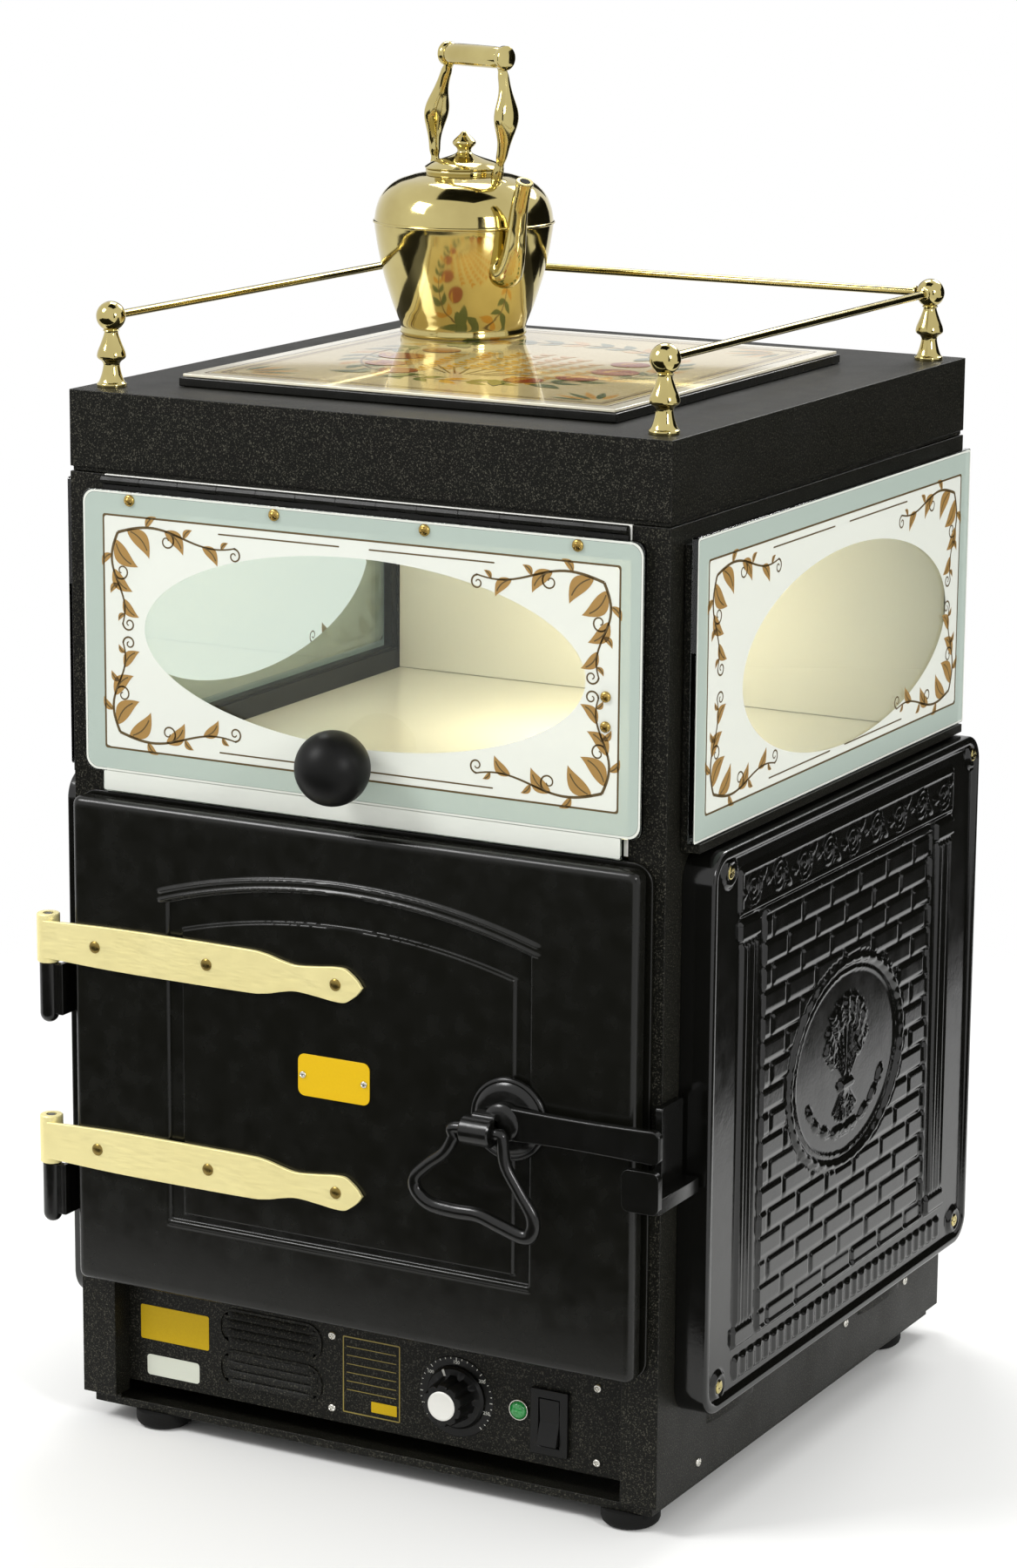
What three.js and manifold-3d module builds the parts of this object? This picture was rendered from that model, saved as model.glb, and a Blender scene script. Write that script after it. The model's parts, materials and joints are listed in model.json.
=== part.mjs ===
// Table-top potato baking oven: a black cast-iron-look case with a side-hung oven door, a lit and glazed
// warming compartment above it, a brass gallery round the top and a brass kettle standing on a picture tile.
// Millimetres. The front faces -Y, +X is the right-hand side, +Z is up, and the feet stand on z = 0.

import * as THREE from 'three';
import { mergeVertices } from 'three/addons/utils/BufferGeometryUtils.js';
import Module from 'manifold-3d';

const wasm = await Module();
wasm.setup();

const TAU = Math.PI * 2;

// Shared clearances
const seatGap = 0.3; // left where one piece rests on, or is fixed against, another
const overrun = 5; // how far a cutter runs past the faces it cuts

// Case
const caseWidth = 450;
const caseDepth = 465;
const sheet = 2; // folded steel
const footHeight = 12;
const footRadius = 20;
const footInsetLeft = 54;
const footInsetRight = 29;
const footInsetFront = 21;
const footInsetRear = 50;
const footProfileShares = [[0.8, 0], [0.95, 0.15], [1, 0.35], [1, 1]];
const trayDrop = 8; // the tray shows below the side panels
const trayInset = 6;
const trayLipHeight = 6;
const baseHeight = 86;
const ovenHeight = 351;
const displayHeight = 215;
const capHeight = 55;
const capGrooveHeight = 3;
const capGrooveDepth = 1.5;
const frontReturn = 27; // width of the side panels' folded front strip
const panelFootReturn = 12; // width of the strip folded in under the side panels
const windowMarginEnd = 27;
const windowMarginFoot = 20;
const windowMarginHead = 17;
const sideSlotLength = 65;
const sideSlotHeight = 6;
const sideSlotRise = 38;
const sideSlotSpacing = 245;
const rearSlotCount = 9;
const rearSlotWidth = 5;
const rearSlotHeight = 42;
const rearSlotPitch = 20;
const rearSlotRise = 22;

// Control recess
const recessDepth = 18;
const recessGap = 7.5; // air gap below the control panel
const controlPanelHeight = 76.5;
const controlPanelSideLap = 12;
const louvreLength = 75;
const louvreHeight = 3;
const louvrePitch = 6.4;
const louvreCount = 4;
const louvreX = -82;
const louvreRowLow = 31;
const louvreRowHigh = 61;
const dialX = 65;
const dialRise = 43.5;
const dialRadius = 22;
const dialDepth = 22;
const dialProfileShares = [
  [1, 0], [1, 0.11], [0.92, 0.18], [0.73, 0.18], [0.68, 0.91], [0.46, 0.91], [0.42, 1],
];
const dialGripShare = 0.73;
const dialSkirtShare = 0.18;
const dialFluteRadius = 2.6;
const dialFluteCount = 10;
const spindleRadius = 3;
const spindleLength = 14;
const lensX = 113;
const lensRise = 43.3;
const lensRadius = 7.5;
const lensStemRadius = 5;
const lensStemLength = 12;
const lensRimThickness = 1;
const lensDomeHeight = 4;
const switchX = 137;
const switchRise = 39;
const switchWidth = 28;
const switchHeight = 46;
const switchRim = 3;
const switchWall = 3;
const switchClearance = 1;
const rockerLift = 5;
const rockerDip = 3;
const rockerTilt = THREE.MathUtils.degToRad(8);
const thermostatWidth = 34;
const thermostatHeight = 40;
const thermostatDepth = 30;
const capillaryRadius = 1.5;
const capillaryBend = 14;
const bulbRadius = 4;
const bulbLength = 90;
const bulbX = 150;
const bulbFromTop = 52;
const glandX = -150;
const glandRise = 40;
const glandRadius = 9;
const glandFlangeRadius = 15;
const glandFlangeThickness = 4;
const glandNutLength = 14;
const glandInnerLength = 10;
const glandBoreRadius = 4.5;

// Oven chamber
const frameThickness = 4;
const frameSideMargin = 7;
const frameFootMargin = 3;
const frameHeadMargin = 1;
const frameCorner = 14;
const openingSideMargin = 47;
const openingFootMargin = 25;
const openingHeadMargin = 23;
const openingCorner = 8;
const linerRearMargin = 40;
const linerFlangeMargin = 5; // kept free above and below the liner's front flange
const insulationThickness = 15.5;
const runnerWidth = 8;
const runnerHeight = 4;
const rackFrameRadius = 3;
const rackFrameBend = 9;
const rackWireRadius = 1.6;
const rackWireCount = 11;
const rackFrontMargin = 40;
const rackRearMargin = 8;
const rackSideClearance = 2;
const rackLevelShares = [0.24, 0.6];
const elementRadius = 3.6;
const elementReach = 330;
const elementHalfWidth = 120;
const elementInnerHalfWidth = 40;
const elementTailHalfWidth = 40;
const elementTailLength = 24;
const elementInset = 14;
const elementBend = 18;
const elementRearMargin = 27; // from the chamber's back wall to the outer loop
const elementLoopMargin = 81; // from the chamber's back wall to the inner loop

// Oven door
const doorSideMargin = 10;
const doorFootMargin = 5;
const doorHeadMargin = 3.5;
const doorProud = 20; // from the case front to the door's face
const doorThickness = 12;
const doorEdgeRadius = 5;
const doorPanDepth = 32;
const doorPanWall = 1.5;
const doorPanSideGap = 8;
const doorPanCorner = 10;
const sealWidth = 9;
const sealMargin = 7;
const mouldingDepth = 3;
const mouldingHalfWidth = 139.5;
const mouldingFoot = 54; // from the door's foot to the foot of the sunk moulding
const mouldingSpring = 279; // from the door's foot to where its arch springs
const mouldingRise = 21;
const fieldHalfWidth = 126;
const fieldFoot = 61;
const fieldSpring = 260;
const fieldRise = 17;
const archBeadWidth = 8;
const archBeadHeight = 2;
const archBeadOverhang = 6;

// Strap hinges
const barrelRadius = 8;
const barrelLength = 34;
const hingePinRadius = 3.5;
const hingePinClearance = 0.3;
const hingeSide = 13; // from the case side out to the hinge pins
const strapThickness = 3;
const strapLength = 253;
const strapHalfHeight = 15;
const lowerStrapMargin = 27.5; // from the moulding's foot up to the lower strap's edge
const upperStrapMargin = 24; // from the moulding's arch down to the upper strap's edge
const strapSpearShares = [
  [0, 0.87], [0.25, 1], [0.62, 1], [0.7, 0.93], [0.755, 0.72], [0.8, 0.6], [0.86, 0.68], [0.91, 0.78],
  [0.945, 0.78], [0.965, 0.6], [0.985, 0.33], [1, 0],
];
const pintleRodRadius = 6.5;
const pintleRodLength = 43;
const pintleArmThickness = 6;
const pintlePlateThickness = 4;
const pintleReach = 20.5; // along the case side

// Door latch
const latchInset = 90; // from the door's free edge
const latchRise = 167.5; // above the door's foot
const bossRadius = 28;
const bossThickness = 5.7;
const bossProfileShares = [[1, 0], [1, 0.45], [0.9, 0.8], [0.75, 1]];
const hubRadius = 13;
const hubLength = 8.2;
const latchSpindleRadius = 5;
const latchSpindleTail = 6; // past the back of the door slab
const barThickness = 6;
const barStandoff = 0.7;
const barHeight = 23;
const barTipMargin = 3; // from the bar's tip to the keeper's outer face
const barTipRadius = 4;
const knuckleRadius = 9.5;
const knuckleLength = 22;
const knuckleX = -12; // knuckle centre from the latch axis
const knuckleDrop = 5;
const knuckleStandoff = 41; // knuckle axis from the case front
const knuckleWebHeight = 13;
const knuckleWebLength = 17;
const ringWireRadius = 4.2;
const ringClearance = 0.5;
const ringDrop = 66;
const ringReach = 46;
const ringOutlineShares = [
  [0.37, 0], [0.39, -0.08], [0.44, -0.3], [0.66, -0.55], [0.87, -0.78], [0.86, -0.95], [0.72, -1],
  [0.35, -0.93], [0, -0.86], [-0.4, -0.86], [-0.78, -0.83], [-1, -0.72], [-1.02, -0.58], [-0.82, -0.43],
  [-0.54, -0.27], [-0.4, -0.1], [-0.37, 0],
];
const keeperGap = 1.5; // between the case side's line and the keeper's hook, over the door edge
const keeperReachOut = 18; // keeper's outer face beside the case
const keeperLipThickness = 5.5;
const keeperLipCorner = 5;
const keeperLipHeight = 28;
const keeperBarDrop = 2.5; // bar's lower edge above the keeper's lip
const keeperBarClearance = 1.3;
const keeperArmHeight = 10;
const keeperTabHeight = 62;
const keeperTabThickness = 5;
const keeperTabFront = 10;
const keeperTabRear = 20;

// Warming compartment
const displayFloorRise = 3;
const displayLipHeight = 12;
const displayLipDrop = 2;
const displayBackMargin = 26;
const ceilingDrop = 11;
const headerDrop = 22;
const lampY = 120;
const lampHolderRadius = 17;
const lampHolderHeight = 20;
const lampHolderRoof = 5;
const lampRadius = 20;
const lampLength = 62;
const lampCapRadius = 12;
const glassStandoff = 12; // from the case side to the glass's outer face
const glassThickness = 4;
const glassEndMargin = 14;
const glassFoot = 10;
const glassHead = 7;
const glassCorner = 2;
const glassFrameWidth = 12;
const glassFrameInset = 6;
const glassLedgeHeight = 6;
const glassLedgeReach = 2;

// Front flap
const flapHalfWidth = 210.5;
const flapTongueHalfWidth = 197;
const flapTongueHeight = 14;
const flapThickness = 4;
const flapCorner = 7;
const flapHeadMargin = 9;
const leafThickness = 1.2;
const leafHalfWidth = 197;
const leafKnuckleRadius = 3;
const leafPinRadius = 1.2;
const leafKnuckleCount = 13;
const flapKnobRadius = 25;
const flapKnobStandoff = 35; // ball centre from the case front
const flapKnobNeckRadius = 8;
const flapKnobRise = 43; // ball centre above the flap's foot

// Cast side plates
const castStandoff = 23;
const castFrontMargin = 23.5;
const castRearMargin = 5.5;
const castFoot = 58; // above the side panels' lower edge
const castHeight = 381;
const castCorner = 20;
const castWall = 4;
const castRimWidth = 7;
const castRimHeight = 3;
const castBarHeight = 2.5;
const castBannerHeight = 34;
const castBannerMargin = 34;
const castCourseCount = 7;
const castCourseThickness = 3;
const castOvalHalfLength = 96;
const castOvalHalfHeight = 74;
const castOvalBand = 9;
const castOvalHeight = 3;
const castBossHeight = 3;
const castBossShare = 0.45;
const castReliefRoot = 2; // how deep the relief is rooted in the plate's face

// Gallery, picture tile
const postInsetSide = 18;
const postInsetEnd = 24.5;
const postHeight = 57;
const postBaseRadius = 10;
const postBallRadius = 10;
const postProfileShares = [
  [1, 0], [1, 0.04], [0.8, 0.1], [0.6, 0.2], [0.55, 0.27], [0.75, 0.3], [0.98, 0.345], [0.9, 0.42],
  [0.65, 0.53], [0.48, 0.63], [0.5, 0.66],
];
const railRadius = 2.8;
const slabWidth = 330;
const slabDepth = 343;
const slabThickness = 6;
const slabShiftX = -4;
const slabShiftY = -13;
const tileThickness = 2;
const tileMargin = 2;

// Kettle
const kettleX = -111;
const kettleY = 103;
const kettleRadius = 64.5;
const kettleShoulderHeight = 115;
const kettleWall = 1.6;
const kettleProfileShares = [
  [0.68, 0], [0.705, 0.02], [0.7, 0.06], [0.79, 0.19], [0.885, 0.36], [0.95, 0.52], [0.995, 0.68],
  [1.01, 0.7], [0.995, 0.72], [0.97, 0.79], [0.9, 0.875], [0.76, 0.945], [0.57, 0.985], [0.42, 1],
];
const kettleCollarRadius = 25.5;
const kettleCollarHeight = 3;
const lidRadius = 28;
const lidHeight = 26;
const lidProfileShares = [
  [1, 0], [1, 0.05], [0.8, 0.19], [0.45, 0.3], [0.2, 0.42], [0.2, 0.54], [0.29, 0.66], [0.28, 0.74],
  [0.13, 0.9],
];
const lidPlugDepth = 5;
const lidPlugClearance = 1;
const spoutTurn = THREE.MathUtils.degToRad(-32);
const spoutReach = 88;
const spoutTipRise = 116;
const spoutPathShares = [
  [0.56, 0.46], [0.68, 0.43], [0.76, 0.45], [0.83, 0.56], [0.87, 0.7], [0.91, 0.83], [0.96, 0.93], [1, 1],
];
const spoutRootRadius = 12.5;
const spoutRadiusShares = [1, 0.92, 0.8, 0.66, 0.56, 0.5, 0.47, 0.46];
const spoutBore = 3.6;
const spoutBoreDepth = 9;
const handleTurn = THREE.MathUtils.degToRad(-22);
const handleForward = 13; // grip centre ahead of the kettle's axis
const gripHeight = 198;
const gripLength = 68;
const gripRadius = 7.5;
const gripCapRadius = 8.6;
const gripCapThickness = 5;
const uprightSlim = 4;
const uprightBulgeShare = 2.6; // how many times wider the upright is at its bulge
const uprightBow = 9;
const uprightFootRear = -32;
const uprightFootFront = 36;
const uprightTopInset = 7;
const uprightFootShare = 0.96; // of the shoulder's height
const uprightSwellStartShare = 0.12;
const uprightSwellEndShare = 0.92;
const uprightSwellShare = 0.45; // how much of its slimness it gains in the handle's own plane

// Facets round a whole piece, and steps along a quarter turn or a bend
const facets = { tiny: 6, small: 8, coarse: 12, medium: 16, smooth: 24, fine: 28 };
const steps = { corner: 3, wideCorner: 4, ball: 6, largeBall: 9, ring: 38 };

// Levels and planes worked out from the sizes above
const trayBottom = footHeight;
const caseBottom = trayBottom + trayDrop;
const ovenBottom = caseBottom + baseHeight;
const ovenTop = ovenBottom + ovenHeight;
const displayTop = ovenTop + displayHeight;
const caseTop = displayTop + capHeight;
const halfWidth = caseWidth / 2;
const halfDepth = caseDepth / 2;
const frontY = -halfDepth;
const returnInner = halfWidth - frontReturn;
const panelInner = halfWidth - sheet;
const openingHalf = halfWidth - openingSideMargin;
const openingBottom = ovenBottom + openingFootMargin;
const openingTop = ovenTop - openingHeadMargin;
const linerBack = halfDepth - linerRearMargin;
const doorHalf = halfWidth - doorSideMargin;
const doorBottom = ovenBottom + doorFootMargin;
const doorTop = ovenTop - doorHeadMargin;
const doorFace = frontY - doorProud;
const doorBack = doorFace + doorThickness;
const frameFace = frontY - seatGap - frameThickness;
const hingeX = -halfWidth - hingeSide;
const strapFace = doorFace - seatGap - strapThickness;
const hingeY = strapFace + barrelRadius;
const strapRises = [
  mouldingFoot + lowerStrapMargin + strapHalfHeight,
  mouldingSpring - upperStrapMargin - strapHalfHeight,
];
const latchX = doorHalf - latchInset;
const latchZ = doorBottom + latchRise;
const hubBack = doorFace - seatGap - bossThickness - seatGap;
const barBack = hubBack - barStandoff;
const flapBack = frontY - 3 * seatGap - 2 * leafThickness;
const flapFace = flapBack - flapThickness;
const flapAxisY = frontY - seatGap - leafKnuckleRadius;
const flapAxisZ = displayTop - leafKnuckleRadius;
const tileTop = caseTop + seatGap + slabThickness + seatGap + tileThickness;
const kettleBase = tileTop + seatGap;

const finishes = {
  blackPanel: { color: 0x161616, roughness: 0.55, metalness: 0.2 },
  blackCast: { color: 0x121212, roughness: 0.4, metalness: 0.3 },
  blackPlastic: { color: 0x1a1a1a, roughness: 0.5, metalness: 0 },
  brass: { color: 0xc8a850, roughness: 0.2, metalness: 1 },
  satinBrass: { color: 0xcdb878, roughness: 0.4, metalness: 1 },
  steel: { color: 0x9a9a96, roughness: 0.35, metalness: 1 },
  brightWire: { color: 0xc4c4c4, roughness: 0.2, metalness: 1 },
  whiteEnamel: { color: 0xe8e8e4, roughness: 0.4, metalness: 0 },
  whiteCeramic: { color: 0xe6e2da, roughness: 0.25, metalness: 0 },
  etchedGlass: { color: 0xdfe8e2, roughness: 0.3, metalness: 0 },
  lampGlass: { color: 0xfff2d0, roughness: 0.2, metalness: 0 },
  mineralWool: { color: 0xb9a670, roughness: 0.9, metalness: 0 },
  sealRope: { color: 0x8c8c86, roughness: 0.9, metalness: 0 },
  rubber: { color: 0x101010, roughness: 0.8, metalness: 0 },
  greenLens: { color: 0x2f9a4c, roughness: 0.2, metalness: 0 },
  pictureTile: { color: 0xd9d2c0, roughness: 0.15, metalness: 0 },
};

const pieces = new THREE.Group();

// Turns a closed surface into a solid; a surface that came out inside out is turned round first.
function solidOf(geometry) {
  const bare = geometry.clone();
  bare.deleteAttribute('normal');
  bare.deleteAttribute('uv');
  const merged = mergeVertices(bare);
  const vertProperties = Float32Array.from(merged.attributes.position.array);
  const triVerts = Uint32Array.from(merged.index.array);
  const corner = (k) => new THREE.Vector3().fromArray(vertProperties, triVerts[k] * 3);
  let volume = 0;
  for (let k = 0; k < triVerts.length; k += 3) {
    volume += corner(k).dot(corner(k + 1).cross(corner(k + 2)));
  }
  if (volume < 0) {
    for (let k = 0; k < triVerts.length; k += 3) {
      [triVerts[k], triVerts[k + 1]] = [triVerts[k + 1], triVerts[k]];
    }
  }
  return new wasm.Manifold(new wasm.Mesh({ numProp: 3, vertProperties, triVerts }));
}

function geometryOf(solid) {
  const mesh = solid.getMesh();
  const geometry = new THREE.BufferGeometry();
  geometry.setAttribute('position', new THREE.BufferAttribute(mesh.vertProperties, 3));
  geometry.setIndex(new THREE.BufferAttribute(mesh.triVerts, 1));
  return geometry;
}

function join(...solids) {
  return solids.reduce((whole, next) => whole.add(next));
}

function cut(body, ...cutters) {
  return cutters.reduce((rest, cutter) => rest.subtract(cutter), body);
}

function addPiece(name, solid, finish) {
  const material = new THREE.MeshStandardMaterial(finishes[finish]);
  const mesh = new THREE.Mesh(geometryOf(solid), material);
  mesh.name = name;
  pieces.add(mesh);
}

// The same solid on the other side of the x = 0 plane.
function mirrored(solid) {
  const geometry = geometryOf(solid);
  geometry.scale(-1, 1, 1);
  return solidOf(geometry);
}

function moved(solid, x, y, z) {
  const geometry = geometryOf(solid);
  geometry.translate(x, y, z);
  return solidOf(geometry);
}

// A rectangular block between two limits on each axis.
function block([x0, x1], [y0, y1], [z0, z1]) {
  const geometry = new THREE.BoxGeometry(x1 - x0, y1 - y0, z1 - z0);
  geometry.translate((x0 + x1) / 2, (y0 + y1) / 2, (z0 + z1) / 2);
  return solidOf(geometry);
}

// An outline drawn in the plane square to the axis, in the order (x, y), (x, z) or (y, z), carried from one
// place on the axis to another.
function prism(shape, axis, from, to, curveSegments = facets.coarse) {
  const options = { depth: to - from, bevelEnabled: false, curveSegments };
  const geometry = new THREE.ExtrudeGeometry(shape, options);
  const place = new THREE.Matrix4();
  const [x, y, z] = [new THREE.Vector3(1, 0, 0), new THREE.Vector3(0, 1, 0), new THREE.Vector3(0, 0, 1)];
  if (axis === 'x') {
    place.makeBasis(y, z, x).setPosition(from, 0, 0);
  } else if (axis === 'y') {
    place.makeBasis(x, z, y.negate()).setPosition(0, to, 0);
  } else {
    place.setPosition(0, 0, from);
  }
  geometry.applyMatrix4(place);
  return solidOf(geometry);
}

function polygon(points) {
  return new THREE.Shape(points.map(([u, v]) => new THREE.Vector2(u, v)));
}

function roundedOutline([u0, u1], [v0, v1], radius) {
  const shape = new THREE.Shape();
  shape.absarc(u1 - radius, v0 + radius, radius, -TAU / 4, 0);
  shape.absarc(u1 - radius, v1 - radius, radius, 0, TAU / 4);
  shape.absarc(u0 + radius, v1 - radius, radius, TAU / 4, TAU / 2);
  shape.absarc(u0 + radius, v0 + radius, radius, TAU / 2, 3 * TAU / 4);
  shape.closePath();
  return shape;
}

// A rod along an axis; a and b place it on the other two axes, in their order.
function rod(axis, a, b, radius, from, to, sides = facets.medium) {
  const shape = new THREE.Shape();
  for (let k = 0; k < sides; k += 1) {
    const angle = (k / sides) * TAU;
    const point = [a + radius * Math.cos(angle), b + radius * Math.sin(angle)];
    if (k === 0) {
      shape.moveTo(...point);
    } else {
      shape.lineTo(...point);
    }
  }
  return prism(shape, axis, from, to);
}

// A turned piece about the Z axis: the profile's points are [radius, height], from the foot to the head.
function turned(profile, sides = facets.medium) {
  const points = profile.map(([radius, height]) => new THREE.Vector2(radius, height));
  const geometry = new THREE.LatheGeometry(points, sides);
  geometry.rotateX(TAU / 4);
  return solidOf(geometry);
}

// The same, turned about a line along Y: heights run out towards the front from y = back.
function turnedForward(profile, x, back, z, sides = facets.medium) {
  const points = profile.map(([radius, height]) => new THREE.Vector2(radius, height));
  const geometry = new THREE.LatheGeometry(points, sides);
  geometry.rotateX(TAU / 2);
  geometry.translate(x, back, z);
  return solidOf(geometry);
}

function ballProfile(radius, centre, startAngle, count) {
  const profile = [];
  for (let k = 0; k <= count; k += 1) {
    const angle = startAngle + (k / count) * (TAU / 4 - startAngle);
    profile.push([k === count ? 0 : radius * Math.cos(angle), centre + radius * Math.sin(angle)]);
  }
  return profile;
}

// A bar swept along points of one plane, with an elliptical section whose two radii are given at each point:
// one in that plane and one across it. A closed bar joins its last point to its first.
function swept(centres, planeNormal, inPlane, across, sides, closed = false) {
  const count = centres.length;
  const positions = [];
  const index = [];
  centres.forEach((centre, i) => {
    const before = centres[closed ? (i - 1 + count) % count : Math.max(i - 1, 0)];
    const after = centres[closed ? (i + 1) % count : Math.min(i + 1, count - 1)];
    const tangent = after.clone().sub(before).normalize();
    const normal = new THREE.Vector3().crossVectors(planeNormal, tangent);
    for (let k = 0; k < sides; k += 1) {
      const angle = (k / sides) * TAU;
      const point = centre.clone()
        .addScaledVector(normal, Math.cos(angle) * inPlane[i])
        .addScaledVector(planeNormal, Math.sin(angle) * across[i]);
      positions.push(point.x, point.y, point.z);
    }
  });
  const spans = closed ? count : count - 1;
  for (let i = 0; i < spans; i += 1) {
    const here = i * sides;
    const there = ((i + 1) % count) * sides;
    for (let k = 0; k < sides; k += 1) {
      const next = (k + 1) % sides;
      index.push(here + k, here + next, there + next, here + k, there + next, there + k);
    }
  }
  if (!closed) {
    for (let k = 1; k < sides - 1; k += 1) {
      const last = (count - 1) * sides;
      index.push(0, k + 1, k, last, last + k, last + k + 1);
    }
  }
  const geometry = new THREE.BufferGeometry();
  geometry.setAttribute('position', new THREE.Float32BufferAttribute(positions, 3));
  geometry.setIndex(index);
  return solidOf(geometry);
}

// A round bar along straight runs with rounded bends, through points of one plane.
function bentBar(points, planeNormal, radius, bend, sides = 8) {
  const path = new THREE.CurvePath();
  let start = points[0];
  for (let i = 1; i < points.length - 1; i += 1) {
    const into = points[i - 1].clone().sub(points[i]).setLength(bend).add(points[i]);
    const out = points[i + 1].clone().sub(points[i]).setLength(bend).add(points[i]);
    path.add(new THREE.LineCurve3(start, into));
    path.add(new THREE.QuadraticBezierCurve3(into, points[i], out));
    start = out;
  }
  path.add(new THREE.LineCurve3(start, points[points.length - 1]));
  const centres = [];
  path.curves.forEach((curve) => {
    const places = curve.getPoints(curve instanceof THREE.QuadraticBezierCurve3 ? steps.wideCorner : 1);
    centres.push(...(centres.length ? places.slice(1) : places));
  });
  const radii = centres.map(() => radius);
  return swept(centres, planeNormal, radii, radii, sides);
}

function sidePanel() {
  const frontStrip = block([returnInner, halfWidth], [frontY, frontY + sheet], [caseBottom, displayTop]);
  const wall = block([panelInner, halfWidth], [frontY, halfDepth], [caseBottom, displayTop]);
  const innerReturn = block(
    [returnInner, returnInner + sheet], [frontY, frontY + recessDepth - seatGap], [caseBottom, ovenBottom]);
  const footStrip = block(
    [halfWidth - panelFootReturn, halfWidth], [frontY, halfDepth], [caseBottom, caseBottom + sheet]);
  const windowCut = block([panelInner - overrun, halfWidth + overrun],
    [frontY + windowMarginEnd, halfDepth - windowMarginEnd],
    [ovenTop + windowMarginFoot, displayTop - windowMarginHead]);
  const slots = [-1, 1].map((side) => {
    const centre = side * sideSlotSpacing / 2;
    const reach = [centre - sideSlotLength / 2, centre + sideSlotLength / 2];
    const rise = caseBottom + sideSlotRise;
    return block([panelInner - overrun, halfWidth + overrun], reach, [rise, rise + sideSlotHeight]);
  });
  return cut(join(frontStrip, wall, innerReturn, footStrip), windowCut, ...slots);
}

function rearPanel() {
  const inner = panelInner - seatGap;
  const foot = caseBottom + sheet + seatGap;
  let panel = block([-inner, inner], [halfDepth - sheet, halfDepth], [foot, displayTop]);
  for (let k = 0; k < rearSlotCount; k += 1) {
    const x = (k - (rearSlotCount - 1) / 2) * rearSlotPitch;
    const low = caseBottom + rearSlotRise;
    const cutter = block([x - rearSlotWidth / 2, x + rearSlotWidth / 2],
      [halfDepth - sheet - overrun, halfDepth + overrun], [low, low + rearSlotHeight]);
    panel = cut(panel, cutter);
  }
  const glandHole = rod('y', glandX, caseBottom + glandRise, glandRadius + seatGap,
    halfDepth - sheet - overrun, halfDepth + overrun);
  return cut(panel, glandHole);
}

function cableGland() {
  const z = caseBottom + glandRise;
  const outer = halfDepth + seatGap;
  const flange = rod('y', glandX, z, glandFlangeRadius, outer, outer + glandFlangeThickness, facets.tiny);
  const nut = rod('y', glandX, z, glandRadius, outer, outer + glandFlangeThickness + glandNutLength);
  const inner = halfDepth - sheet - glandInnerLength;
  const shank = rod('y', glandX, z, glandRadius, inner, outer + glandFlangeThickness);
  const bore = rod('y', glandX, z, glandBoreRadius, inner - overrun,
    outer + glandFlangeThickness + glandNutLength + overrun);
  return cut(join(flange, nut, shank), bore);
}

function baseTray() {
  const x = halfWidth - trayInset;
  const y = halfDepth - trayInset;
  const top = caseBottom - seatGap;
  const body = block([-x, x], [-y, y], [trayBottom, top]);
  const hollow = block([-x + sheet, x - sheet], [-y + sheet, y - sheet], [trayBottom + sheet, top + overrun]);
  const frontDrop = block([-returnInner, returnInner], [-y - overrun, -y + sheet + overrun],
    [trayBottom + trayLipHeight, top + overrun]);
  return cut(body, hollow, frontDrop);
}

function foot(x, y) {
  const top = footHeight - seatGap;
  const profile = footProfileShares.map(([wide, high]) => [wide * footRadius, high * top]);
  return moved(turned([[0, 0], ...profile, [0, top]]), x, y, 0);
}

function feet() {
  const left = -halfWidth + footInsetLeft;
  const right = halfWidth - footInsetRight;
  const front = frontY + footInsetFront;
  const rear = halfDepth - footInsetRear;
  addPiece('foot_front_left', foot(left, front), 'rubber');
  addPiece('foot_front_right', foot(right, front), 'rubber');
  addPiece('foot_rear_left', foot(left, rear), 'rubber');
  addPiece('foot_rear_right', foot(right, rear), 'rubber');
}

const controlFace = frontY + recessDepth;
const controlBottom = caseBottom + recessGap;

function controlPanel() {
  const half = returnInner + controlPanelSideLap;
  const through = [controlFace - overrun, controlFace + sheet + overrun];
  let panel = block([-half, half], [controlFace, controlFace + sheet],
    [controlBottom, controlBottom + controlPanelHeight]);
  [louvreRowLow, louvreRowHigh].forEach((row) => {
    for (let k = 0; k < louvreCount; k += 1) {
      const z = caseBottom + row + k * louvrePitch - (louvreCount - 1) * louvrePitch / 2;
      const slot = block([louvreX - louvreLength / 2, louvreX + louvreLength / 2], through,
        [z - louvreHeight / 2, z + louvreHeight / 2]);
      panel = cut(panel, slot);
    }
  });
  const spindleHole = rod('y', dialX, caseBottom + dialRise, spindleRadius + seatGap, ...through,
    facets.small);
  const lensHole = rod('y', lensX, caseBottom + lensRise, lensStemRadius + seatGap, ...through,
    facets.coarse);
  const switchZ = caseBottom + switchRise;
  const holeHalfX = switchWidth / 2 - switchRim + seatGap;
  const holeHalfZ = switchHeight / 2 - switchRim + seatGap;
  const switchHole = block([switchX - holeHalfX, switchX + holeHalfX], through,
    [switchZ - holeHalfZ, switchZ + holeHalfZ]);
  return cut(panel, spindleHole, lensHole, switchHole);
}

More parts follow.
